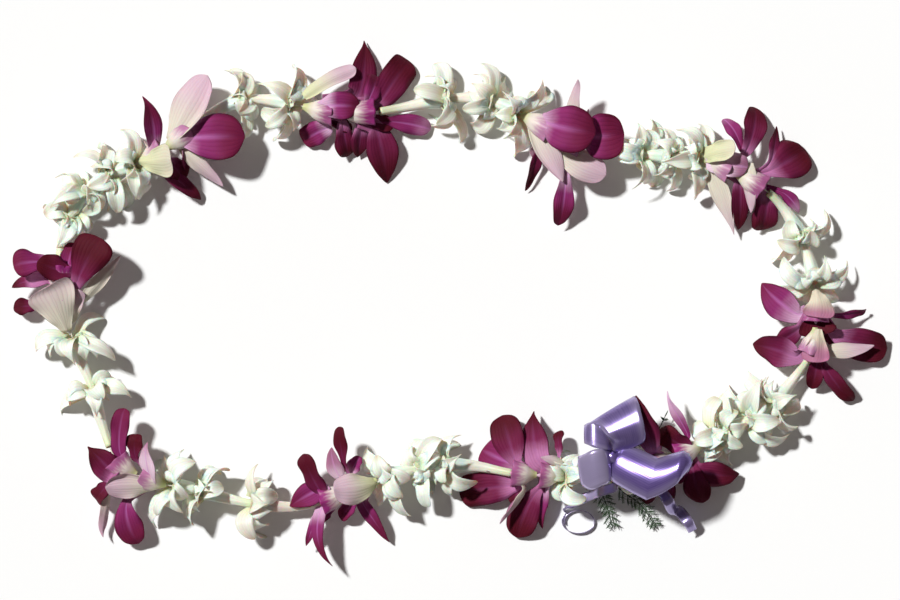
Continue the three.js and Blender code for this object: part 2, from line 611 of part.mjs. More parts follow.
const RIGHT_TAIL = [
  [616, 460, 25.6, 60, 0, 4], [640, 483, 20, 50, 0, 6], [661, 495, 13, 60, 30, 6], [672, 508, 9, 40, -20, 6],
  [688, 527, 5, 30, 20, 5],
];
const LEFT_TAIL = [
  [613, 460, 23.7, 60, 0, 3.6], [613, 481, 17, 80, 10, 5], [592, 494, 8, 70, 30, 5], [568, 505, 4, 60, 60, 4],
];
const CURL = {
  x: 579, y: 519, radiusX: 17, radiusY: 13, from: 0.78, turns: 1.5, steps: 11,
  height: 3.4, width: 4, shrink: 0.35, taper: 0.5,
};

// The left tail runs out in a thin curl that stands on its edge.
function curlStations() {
  return Array.from({ length: CURL.steps + 1 }, (_, i) => {
    const share = i / CURL.steps;
    const angle = Math.PI * (CURL.from + share * CURL.turns * 2);
    const shrink = 1 - share * CURL.shrink;
    return [
      CURL.x + Math.cos(angle) * CURL.radiusX * shrink,
      CURL.y - Math.sin(angle) * CURL.radiusY * shrink,
      CURL.height, 0, 90, CURL.width * (1 - share * CURL.taper),
    ];
  });
}

function ribbonBow() {
  const knot = new THREE.SphereGeometry(BOW_KNOT_RADIUS, 8, 5);
  knot.scale(1, 0.85, 0.8).translate(...plan(...BOW_KNOT).toArray());
  const collarLength = COLLAR.end - COLLAR.start;
  const pieces = [
    toSolid(knot),
    sheath(COLLAR.start, [[0, COLLAR.radius], [collarLength, COLLAR.radius]], 6),
    ribbonStrip(TIE_STRAP, 0),
    ribbonStrip(RIGHT_TAIL, 0),
    ribbonStrip([...LEFT_TAIL, ...curlStations()], 0),
  ];
  BOW_LOOPS.forEach((loop, i) => pieces.push(ribbonStrip(loop, i === 0 ? BOW_CROWN : 0)));
  const bore = sheath(COLLAR.start, [[-1, BORE_RADIUS], [collarLength + 1, BORE_RADIUS]], 6);
  return rested(largestBody(wasm.Manifold.union(pieces).subtract(bore)));
}

// Plumosus fern: a slim rib with fine needles on both sides, in one thin arched blade.
// angle is where it leaves the tie, route gives the plan positions and heights of its rib.
const FERNS = [
  { angle: 290, needles: 10, reach: 8, route: [[601, 488, 5], [607, 506, 3.5], [614, 525, 2]] },
  { angle: 340, needles: 11, reach: 8, route: [[623, 496, 5], [640, 513, 3], [657, 531, 2]] },
  { angle: 215, needles: 9, reach: 7, route: [[614, 440, 5], [643, 424, 4], [671, 409, 3]] },
];
const FERN_RIB = 1.2;
const FERN_THICKNESS = 0.9;
const FERN_BARE_SHARE = 0.3;
const FERN_TIP_SHARE = 0.96;
const FERN_CUP = 0.012;
const NEEDLE_SWEEP = 0.13;
const NEEDLE_WIDTH = 0.032;
const NEEDLE_REACH = { least: 0.75, spread: 0.45 };
const FLAT_LENGTH = 100;

function fern({ angle, needles, reach, route }, number) {
  const random = makeRandom(300 + number);
  const tie = stationAt((COLLAR.start + COLLAR.end) / 2);
  const turn = THREE.MathUtils.degToRad(angle);
  const leave = COLLAR.radius + FERN_RIB / 2 + GAP;
  const start = tie.point.clone()
    .addScaledVector(tie.side, Math.cos(turn) * leave)
    .addScaledVector(tie.above, Math.sin(turn) * leave);
  const path = new THREE.CatmullRomCurve3([start, ...route.map((p) => plan(...p))]);
  const edge = (hand) => {
    const points = [[0, hand * FERN_RIB * 0.5]];
    for (let i = 0; i < needles; i += 1) {
      const share = FERN_BARE_SHARE + ((FERN_TIP_SHARE - FERN_BARE_SHARE) * i) / needles;
      const swept = reach * (NEEDLE_REACH.least + random() * NEEDLE_REACH.spread);
      const taper = 1 - 0.5 * ((share - 0.6) / 0.4) ** 2;
      points.push([share, hand * FERN_RIB * 0.5]);
      points.push([Math.min(share + NEEDLE_SWEEP, 1), hand * swept * taper]);
      points.push([share + NEEDLE_WIDTH, hand * FERN_RIB * 0.5]);
    }
    return points;
  };
  const outline = [...edge(-1), [1, 0], ...edge(1).reverse()];
  const shape = new THREE.Shape(outline.map(([u, v]) => new THREE.Vector2(u * FLAT_LENGTH, v)));
  const flat = new THREE.ExtrudeGeometry(shape, { depth: FERN_THICKNESS, bevelEnabled: false });
  const place = flat.attributes.position;
  for (let i = 0; i < place.count; i += 1) {
    const share = Math.min(place.getX(i) / FLAT_LENGTH, 1);
    const across = place.getY(i);
    const side = UP.clone().cross(path.getTangentAt(share)).normalize();
    const point = path.getPointAt(share).addScaledVector(side, across);
    point.z += place.getZ(i) + across * across * FERN_CUP;
    place.setXYZ(i, point.x, point.y, point.z);
  }
  return rested(toSolid(flat));
}

const lei = new THREE.Group();

function addPiece(name, solid, finish) {
  const mesh = new THREE.Mesh(toGeometry(solid), new THREE.MeshStandardMaterial(finish));
  mesh.name = name;
  lei.add(mesh);
}

const orchids = ORCHIDS.map(orchid);
const bow = ribbonBow();
const ferns = FERNS.map(fern);
addPiece('thread', thread(), COTTON);
orchids.forEach((solid, i) => addPiece(ORCHIDS[i].name, solid, ORCHID));

// Each floret's lobes are kept clear of everything placed before it.
const placed = [...orchids, bow, ...ferns];
TUBEROSES.forEach((floret, i) => {
  const solid = tuberose(floret, i, placed);
  placed.push(solid);
  addPiece(`tuberose_${String(i + 1).padStart(2, '0')}`, solid, TUBEROSE);
});
addPiece('ribbon_bow', bow, RIBBON);
ferns.forEach((solid, i) => addPiece(`fern_sprig_${i + 1}`, solid, FERN));

// The footprint's middle becomes the origin.
const footprint = new THREE.Box3().setFromObject(lei);
const middle = footprint.getCenter(new THREE.Vector3());
lei.position.set(-middle.x, -middle.y, 0);

export default lei;
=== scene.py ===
"""Looks of a fresh flower lei laid flat on a pale floor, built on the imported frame.

Lengths are in millimetres until a mesh is made. The flowers follow the same thread line and the
same tables as the solids, with finer petals.
"""

import math

import bpy
import numpy as np
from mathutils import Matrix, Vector
from mathutils.bvhtree import BVHTree


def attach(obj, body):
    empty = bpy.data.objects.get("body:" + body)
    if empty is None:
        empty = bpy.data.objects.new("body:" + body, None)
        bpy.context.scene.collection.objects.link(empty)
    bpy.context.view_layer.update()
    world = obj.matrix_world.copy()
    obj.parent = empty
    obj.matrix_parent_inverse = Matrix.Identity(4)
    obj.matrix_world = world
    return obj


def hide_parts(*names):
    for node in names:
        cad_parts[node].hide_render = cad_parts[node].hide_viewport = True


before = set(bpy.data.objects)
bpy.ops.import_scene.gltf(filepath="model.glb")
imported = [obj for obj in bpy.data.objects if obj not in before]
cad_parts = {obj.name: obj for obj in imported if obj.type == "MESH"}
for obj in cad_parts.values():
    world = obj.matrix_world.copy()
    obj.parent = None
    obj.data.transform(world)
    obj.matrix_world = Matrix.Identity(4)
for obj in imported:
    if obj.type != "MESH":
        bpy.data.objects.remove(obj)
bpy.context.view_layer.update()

MM = 0.001
PLAN_SCALE = 0.53
PLAN_MIDDLE = (449.0, 303.5)
PHOTO_CENTRE = (450.0, 300.0)
PHOTO_WIDTH = 900.0
UP = np.array([0.0, 0.0, 1.0])
SAMPLE_STEPS = 40
FLOOR_CLEAR = 0.05
FLOOR_SOFTNESS = 1.4
LEAST_HEIGHT = 0.02
MASK = 0xFFFFFFFF


def plan(x, y, z=0.0):
    """A place in the plan drawing, seen from above with y running down, in millimetres."""
    return np.array([(x - PLAN_MIDDLE[0]) * PLAN_SCALE, (PLAN_MIDDLE[1] - y) * PLAN_SCALE, z])


def placed(name, data):
    """A new object in the scene."""
    made = bpy.data.objects.new(name, data)
    bpy.context.scene.collection.objects.link(made)
    return made


# Camera, straight above the middle of the photograph
CAMERA_HEIGHT = 4.0
FOCUS_LEVEL = 12.0
SENSOR_WIDTH = 36.0

camera_data = bpy.data.cameras.new("camera")
camera = placed("camera", camera_data)
bpy.context.scene.camera = camera
eye = plan(*PHOTO_CENTRE) * MM
camera.location = (eye[0], eye[1], CAMERA_HEIGHT)
camera.rotation_euler = (0.0, 0.0, 0.0)
camera_data.sensor_fit = "HORIZONTAL"
camera_data.sensor_width = SENSOR_WIDTH
view_width = PHOTO_WIDTH * PLAN_SCALE * MM
camera_data.lens = SENSOR_WIDTH * (CAMERA_HEIGHT - FOCUS_LEVEL * MM) / view_width
camera_data.clip_start = 0.05
camera_data.clip_end = 50.0

# The thread's route, clockwise from its knot: plan x, plan y, height in millimetres.
THREAD_ROUTE = [
    (615, 470, 12), (588, 475, 10), (562, 477, 12), (538, 475, 13), (512, 473, 13), (480, 467, 9),
    (448, 465, 11), (420, 468, 11), (392, 475, 12), (370, 483, 14), (345, 492, 14), (320, 502, 12),
    (290, 507, 8), (255, 504, 10), (225, 498, 9), (195, 489, 11), (168, 485, 13), (140, 476, 14),
    (116, 459, 13), (102, 425, 9), (92, 388, 10), (80, 358, 10), (70, 330, 12), (63, 300, 14),
    (59, 268, 12), (62, 238, 8), (72, 212, 10), (88, 190, 11), (110, 174, 11), (136, 164, 12),
    (160, 152, 15), (184, 135, 14), (210, 114, 9), (240, 101, 10), (268, 100, 10), (296, 105, 12),
    (330, 112, 14), (372, 112, 14), (400, 108, 10), (440, 100, 10), (470, 98, 10), (500, 104, 11),
    (525, 117, 13), (553, 132, 15), (582, 146, 13), (612, 152, 9), (642, 154, 10), (672, 157, 10),
    (702, 159, 12), (733, 172, 14), (765, 190, 13), (785, 210, 9), (800, 235, 9), (810, 262, 9),
    (815, 292, 13), (815, 325, 15), (810, 354, 13), (795, 378, 8), (774, 402, 9), (750, 419, 10),
    (726, 431, 10), (702, 444, 12), (675, 456, 13), (650, 463, 12),
]


def unit(v):
    return v / np.linalg.norm(v, axis=-1, keepdims=True)


def settled(z, half):
    """Heights that sink near the surface are eased onto it, as soft petals are."""
    floor = FLOOR_CLEAR + half
    level = floor + FLOOR_SOFTNESS
    return np.where(z < level, floor + FLOOR_SOFTNESS * np.exp((np.minimum(z, level) - level)
                                                               / FLOOR_SOFTNESS), z)


def spline(control, steps, closed=False):
    """A smooth line through the control points, with the same number of steps in each span."""
    control = np.asarray(control, dtype=float)
    n = len(control)
    t = np.arange(steps)[:, None] / steps
    points = []
    for i in range(n if closed else n - 1):
        if closed:
            p0, p1, p2, p3 = control[i - 1], control[i], control[(i + 1) % n], control[(i + 2) % n]
        else:
            p0, p1 = control[max(i - 1, 0)], control[i]
            p2, p3 = control[i + 1], control[min(i + 2, n - 1)]
        start, end = (p2 - p0) / 2, (p3 - p1) / 2
        points.append((2 * t ** 3 - 3 * t ** 2 + 1) * p1 + (t ** 3 - 2 * t ** 2 + t) * start
                      + (3 * t ** 2 - 2 * t ** 3) * p2 + (t ** 3 - t ** 2) * end)
    points.append(control[0][None] if closed else control[-1][None])
    return np.concatenate(points)


LINE = spline([plan(*p) for p in THREAD_ROUTE], SAMPLE_STEPS, closed=True)
DISTANCE = np.concatenate([[0.0], np.cumsum(np.linalg.norm(np.diff(LINE, axis=0), axis=1))])
LENGTH = DISTANCE[-1]
SPREAD = 0.8


def on_line(s):
    s = np.mod(s, LENGTH)
    return np.stack([np.interp(s, DISTANCE, LINE[:, k]) for k in range(3)], axis=-1)


def station(s):
    """Point, direction, level side and upward side of the thread at distances along it."""
    s = np.asarray(s, dtype=float)
    along = unit(on_line(s + SPREAD) - on_line(s - SPREAD))
    side = unit(np.cross(UP, along))
    return on_line(s), along, side, np.cross(along, side)


def distance_near(x, y):
    gap = np.linalg.norm(LINE[:, :2] - plan(x, y)[:2], axis=1)
    return DISTANCE[int(np.argmin(gap))]


def make_random(seed):
    """Repeatable random numbers from a seed, the same ones as the solids use."""
    state = seed & MASK

    def draw():
        nonlocal state
        state = (state + 0x6D2B79F5) & MASK
        t = ((state ^ (state >> 15)) * (state | 1)) & MASK
        t ^= (t + ((t ^ (t >> 7)) * (t | 61) & MASK)) & MASK
        return (t ^ (t >> 14)) / 4294967296

    return draw


class Skin:
    """Closed shells gathered into one mesh, with petal coordinates and a tone for the colours."""

    def __init__(self):
        self.points, self.faces, self.uvs, self.tones, self.slots = [], [], [], [], []
        self.count = 0

    def loft(self, rings, across, along, tone=(0, 0, 0), slot=0, ends="fan", back=None):
        """A closed shell from rings of equal count. across and along are the petal coordinates of
        a ring's corners and of the rings. back is (first corner, tone) of a blade's back."""
        rings = np.asarray(rings)
        rows, n = rings.shape[:2]
        turns = rows if ends == "loop" else rows - 1

        def band(first, last):
            """The quads between the rings, from one corner of a ring to another."""
            for r in range(turns):
                low, high = r * n, ((r + 1) % rows) * n
                for k in range(first, last):
                    m = (k + 1) % n
                    near, far = along[r], along[r + 1]
                    yield ([low + k, low + m, high + m, high + k],
                           [(across[k], near), (across[k + 1], near), (across[k + 1], far),
                            (across[k], far)])

        seam, back_tone = back or (n, tone)
        faces = [(face, uv, tone) for face, uv in band(0, seam)]
        if ends == "fan":
            for base, level, order in ((0, along[0], -1), ((rows - 1) * n, along[-1], 1)):
                corners = range(n)[::order]
                faces.append(([base + k for k in corners], [(across[k], level) for k in corners], tone))
        faces += [(face, uv, back_tone) for face, uv in band(seam, n)]
        for face, uv, own_tone in faces:
            self.faces.append([i + self.count for i in face])
            self.uvs += uv
            self.tones += [own_tone] * len(face)
            self.slots.append(slot)
        self.points.append(rings.reshape(-1, 3))
        self.count += rows * n

    def make(self, name, materials, record_slot, *nodes):
        """The piece, facing out, riding on the lei and standing for its solids."""
        mesh = bpy.data.meshes.new(name)
        points = np.concatenate(self.points) * MM
        mesh.from_pydata(points.tolist(), [], self.faces)
        layer = mesh.uv_layers.new(name="petal")
        layer.data.foreach_set("uv", np.asarray(self.uvs, dtype=np.float32).ravel())
        tone = mesh.color_attributes.new(name="tone", type="FLOAT_COLOR", domain="CORNER")
        tones = np.ones((len(self.tones), 4), dtype=np.float32)
        tones[:, :3] = self.tones
        tone.data.foreach_set("color", tones.ravel())
        for material in materials:
            mesh.materials.append(material)
        mesh.polygons.foreach_set("material_index", self.slots)
        mesh.polygons.foreach_set("use_smooth", [True] * len(mesh.polygons))
        mesh.validate()
        mesh.update()
        piece = placed(name, mesh)
        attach(piece, "root")
        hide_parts(*nodes)
        return piece


# Blade outlines: share of the length, share of the half width.
OUTLINES = {
    "petal": [(0, 0.3), (0.14, 0.5), (0.32, 0.8), (0.5, 0.97), (0.66, 1.0), (0.82, 0.88),
              (0.92, 0.64), (0.97, 0.34), (1, 0.04)],
    "sepal": [(0, 0.5), (0.18, 0.8), (0.38, 1.0), (0.55, 0.95), (0.76, 0.66), (0.9, 0.33),
              (0.97, 0.14), (1, 0.03)],
    "lip": [(0, 0.32), (0.3, 0.68), (0.6, 1), (0.8, 0.93), (0.93, 0.6), (1, 0.08)],
    "fan": [(0, 0.22), (0.2, 0.4), (0.45, 0.7), (0.7, 0.95), (0.84, 1.0), (0.93, 0.86),
            (0.98, 0.55), (1, 0.12)],
    "strap": [(0, 0.5), (0.15, 0.8), (0.4, 0.96), (0.7, 1.0), (0.88, 0.92), (0.96, 0.66), (1, 0.1)],
    "lobe": [(0, 0.86), (0.2, 0.9), (0.5, 1), (0.74, 0.93), (0.9, 0.66), (0.97, 0.36), (1, 0.05)],
    "spear": [(0, 0.9), (0.2, 0.96), (0.4, 1), (0.6, 0.8), (0.78, 0.45), (0.9, 0.18), (1, 0.03)],
}


TIP_CROWDING = 1.35
CURL_FROM = 0.55
HOOK_FROM = 0.82
ROLL_FROM = 0.55
PAST_TIP = 1.2
SLOPE_STEP = 0.03
EDGE_SPAN = 0.86
CUP_POWER = 1.7
EDGE_SHIFT = 1.3
MIDRIB_WIDTH = 0.13
TIP_THINNING = 0.45
LEAST_HALF = 0.05
CLAW_ROWS = 7
CLAW_SOFTNESS = 0.12
CLAW_TINT = 0.22


def outline(kind, v):
    """The half width's share at v, smoothed between the outline's points."""
    table = np.asarray(OUTLINES[kind], dtype=float)
    fine = spline(table, 12)
    order = np.argsort(fine[:, 0])
    return np.interp(v, fine[order, 0], fine[order, 1])


def blade(skin, *, kind, root, tip, width, forward, face, bow, cup, thickness, tone, back_tone,
          rows=20, half_columns=6, ruffle=0.0, waves=2.5, phase=0.0, curl=0.0, roll=0.0,
          groove=0.25, twist=0.0, sway=0.0, hook=0.0, skew=0.0, tint=(0.0, 1.0), claw=None):
    """A petal, sepal or lobe from root to tip, as one closed shell.

    curl bends its end away from the inner side, hook its last tip, and roll its edges, more on
    one side with skew. ruffle waves its edges, groove sinks its midrib, sway bends it sideways,
    twist turns it about its length in degrees, and tint is where its colours start and end.
    claw is a point in the flower's heart that the blade reaches back to from its root.
    """
    direction = unit(tip - root)
    turn = math.radians(face)
    facing = forward * math.cos(turn) + UP * math.sin(turn)
    facing = unit(facing - direction * facing.dot(direction))
    across = unit(np.cross(facing, direction))
    v = 1 - (1 - np.linspace(0, 1, rows + 1)) ** TIP_CROWDING
    back, soft = (1.0, 0.0) if claw is None else (
        np.linalg.norm(claw - root) / np.linalg.norm(tip - root), CLAW_SOFTNESS)
    if claw is None:
        claw = root
    else:
        v = np.concatenate([-back * np.linspace(1, 0, CLAW_ROWS, endpoint=False), v])

    def line(w):
        w = w[:, None]
        ahead = (w + np.sqrt(w ** 2 + soft ** 2)) / 2
        over = np.clip((w - CURL_FROM) / (1 - CURL_FROM), 0, PAST_TIP)
        end = np.clip((w - HOOK_FROM) / (1 - HOOK_FROM), 0, PAST_TIP)
        arch = 4 * np.maximum(w, 0) * (1 - w)
        return (root + (tip - root) * ahead + (claw - root) * (ahead - w) / back
                + across * sway * arch + facing * (bow * arch - curl * over ** 2 - hook * end ** 2))

    middle = line(v)
    tangent = unit(line(v + SLOPE_STEP) - line(v - SLOPE_STEP))
    angle = np.radians(twist) * (np.maximum(v, 0) ** 2)[:, None]
    normal = unit(np.cross(tangent, across[None]))
    width_way = unit(np.cross(normal, tangent)) * np.cos(angle) + normal * np.sin(angle)
    normal = unit(np.cross(tangent, width_way))
    half = (width / 2) * outline(kind, v)[:, None]
    u = np.sin(np.linspace(-1, 1, 2 * half_columns + 1) * math.pi / 2 * EDGE_SPAN)
    u = (u / u[-1])[None]
    edge = np.abs(u)
    v = v[:, None]
    lift = cup * half * edge ** CUP_POWER
    rolled = np.clip((edge - ROLL_FROM) / (1 - ROLL_FROM), 0, 1) ** 2
    lift -= roll * (1 + skew * np.sign(u)) * half * rolled
    wave = np.sin(v * waves * 2 * math.pi + phase + np.sign(u) * EDGE_SHIFT)
    lift += ruffle * np.sin(np.clip(v, 0, 1) * math.pi) ** 0.6 * edge ** 3 * wave
    lift -= groove * (1 - v) ** 0.4 * np.exp(-(u / MIDRIB_WIDTH) ** 2)
    surface = (middle[:, None] + width_way[:, None] * (half * u)[..., None]
               + normal[:, None] * lift[..., None])
    body = thickness * np.sqrt(np.clip(1 - edge ** 2, 0, 1)) * (1 - TIP_THINNING * v ** 2)
    body = np.minimum(body, 0.9 * np.maximum(half, LEAST_HALF))
    surface[..., 2] = settled(surface[..., 2], body / 2)
    normals = unit(np.cross(np.gradient(surface, axis=0), np.gradient(surface, axis=1)))
    normals *= np.sign((normals * normal[:, None]).sum(axis=2, keepdims=True))
    offset = normals * (body / 2)[..., None]
    rings = np.concatenate([surface + offset, (surface - offset)[:, -2:0:-1]], axis=1)
    rings[..., 2] = np.maximum(rings[..., 2], LEAST_HEIGHT)
    shares = (u[0] + 1) / 2
    around = np.concatenate([shares, shares[-2:0:-1], shares[:1]])
    along = (tint[0] + (tint[1] - tint[0]) * np.maximum(v[:, 0], 0)
             + (CLAW_TINT - tint[0]) * np.maximum(-v[:, 0], 0) / back)
    skin.loft(rings, around, along, tone, back=(2 * half_columns, back_tone))


def smooth_profile(profile, steps):
    fine = spline([(a, b, 0) for a, b in profile], steps)
    return fine[:, 0], fine[:, 1]


TUBE_SIDES = 36
OUTER_STEPS = 5
INNER_STEPS = 3
FLUTES = 6
FLUTE_POWER = 8


def rings_about(centre, side, above, angle, wide, high):
    """Rings of points at the angles about each centre, as wide and as high as the radii say."""
    return (centre[:, None] + side[:, None] * (np.cos(angle) * wide)[..., None]
            + above[:, None] * (np.sin(angle) * high)[..., None])


def sheath_rings(start, offsets, radii, sides, turn=0.0, flutes=0.0):
    """Rings about the thread, with flutes that are deepest at every turn of sixty degrees."""
    point, _, side, above = station(start + np.asarray(offsets))
    angle = np.arange(sides) / sides * 2 * math.pi
    deep = np.broadcast_to(flutes, len(radii))[:, None]
    radii = np.asarray(radii)[:, None] * (1 - deep * np.cos(angle * FLUTES)[None])
    return rings_about(point, side, above, angle + turn, radii, radii)


def tube_skin(skin, start, outer, inner, tone, slot, turn=0.0, flutes=(0.0, 0.0)):
    """A tube with a bore, from the outer profile out and the inner profile back. Its flutes go
    from the first depth to the second along it."""
    offsets, radii = smooth_profile(outer, OUTER_STEPS)
    back_offsets, back_radii = smooth_profile(inner, INNER_STEPS)
    deep, reach = flutes[1] - flutes[0], outer[-1][0]
    rings = np.concatenate([
        sheath_rings(start, offsets, radii, TUBE_SIDES, turn,
                     flutes[0] + deep * (offsets / reach) ** FLUTE_POWER),
        sheath_rings(start, back_offsets, back_radii, TUBE_SIDES, turn,
                     deep * np.clip(back_offsets / reach, 0, 1) ** FLUTE_POWER),
    ])
    # The outside runs from 0 to 1 along, and the inside from 1 to 2.
    along = np.concatenate([offsets / reach, 2 - back_offsets / reach, [2.0]])
    around = np.arange(TUBE_SIDES + 1) / TUBE_SIDES
    skin.loft(rings[:, ::-1], around, along, tone, slot, ends="loop")


def blade_rows(kind):
    """A maker of one kind's rows: the plan position and height of the tip, width, the way the inner
    side faces in degrees, bow, tone and the blade's own values."""
    return lambda *values, **own: (kind, *values, own)


petal, sepal, lip = (blade_rows(kind) for kind in ("petal", "sepal", "lip"))

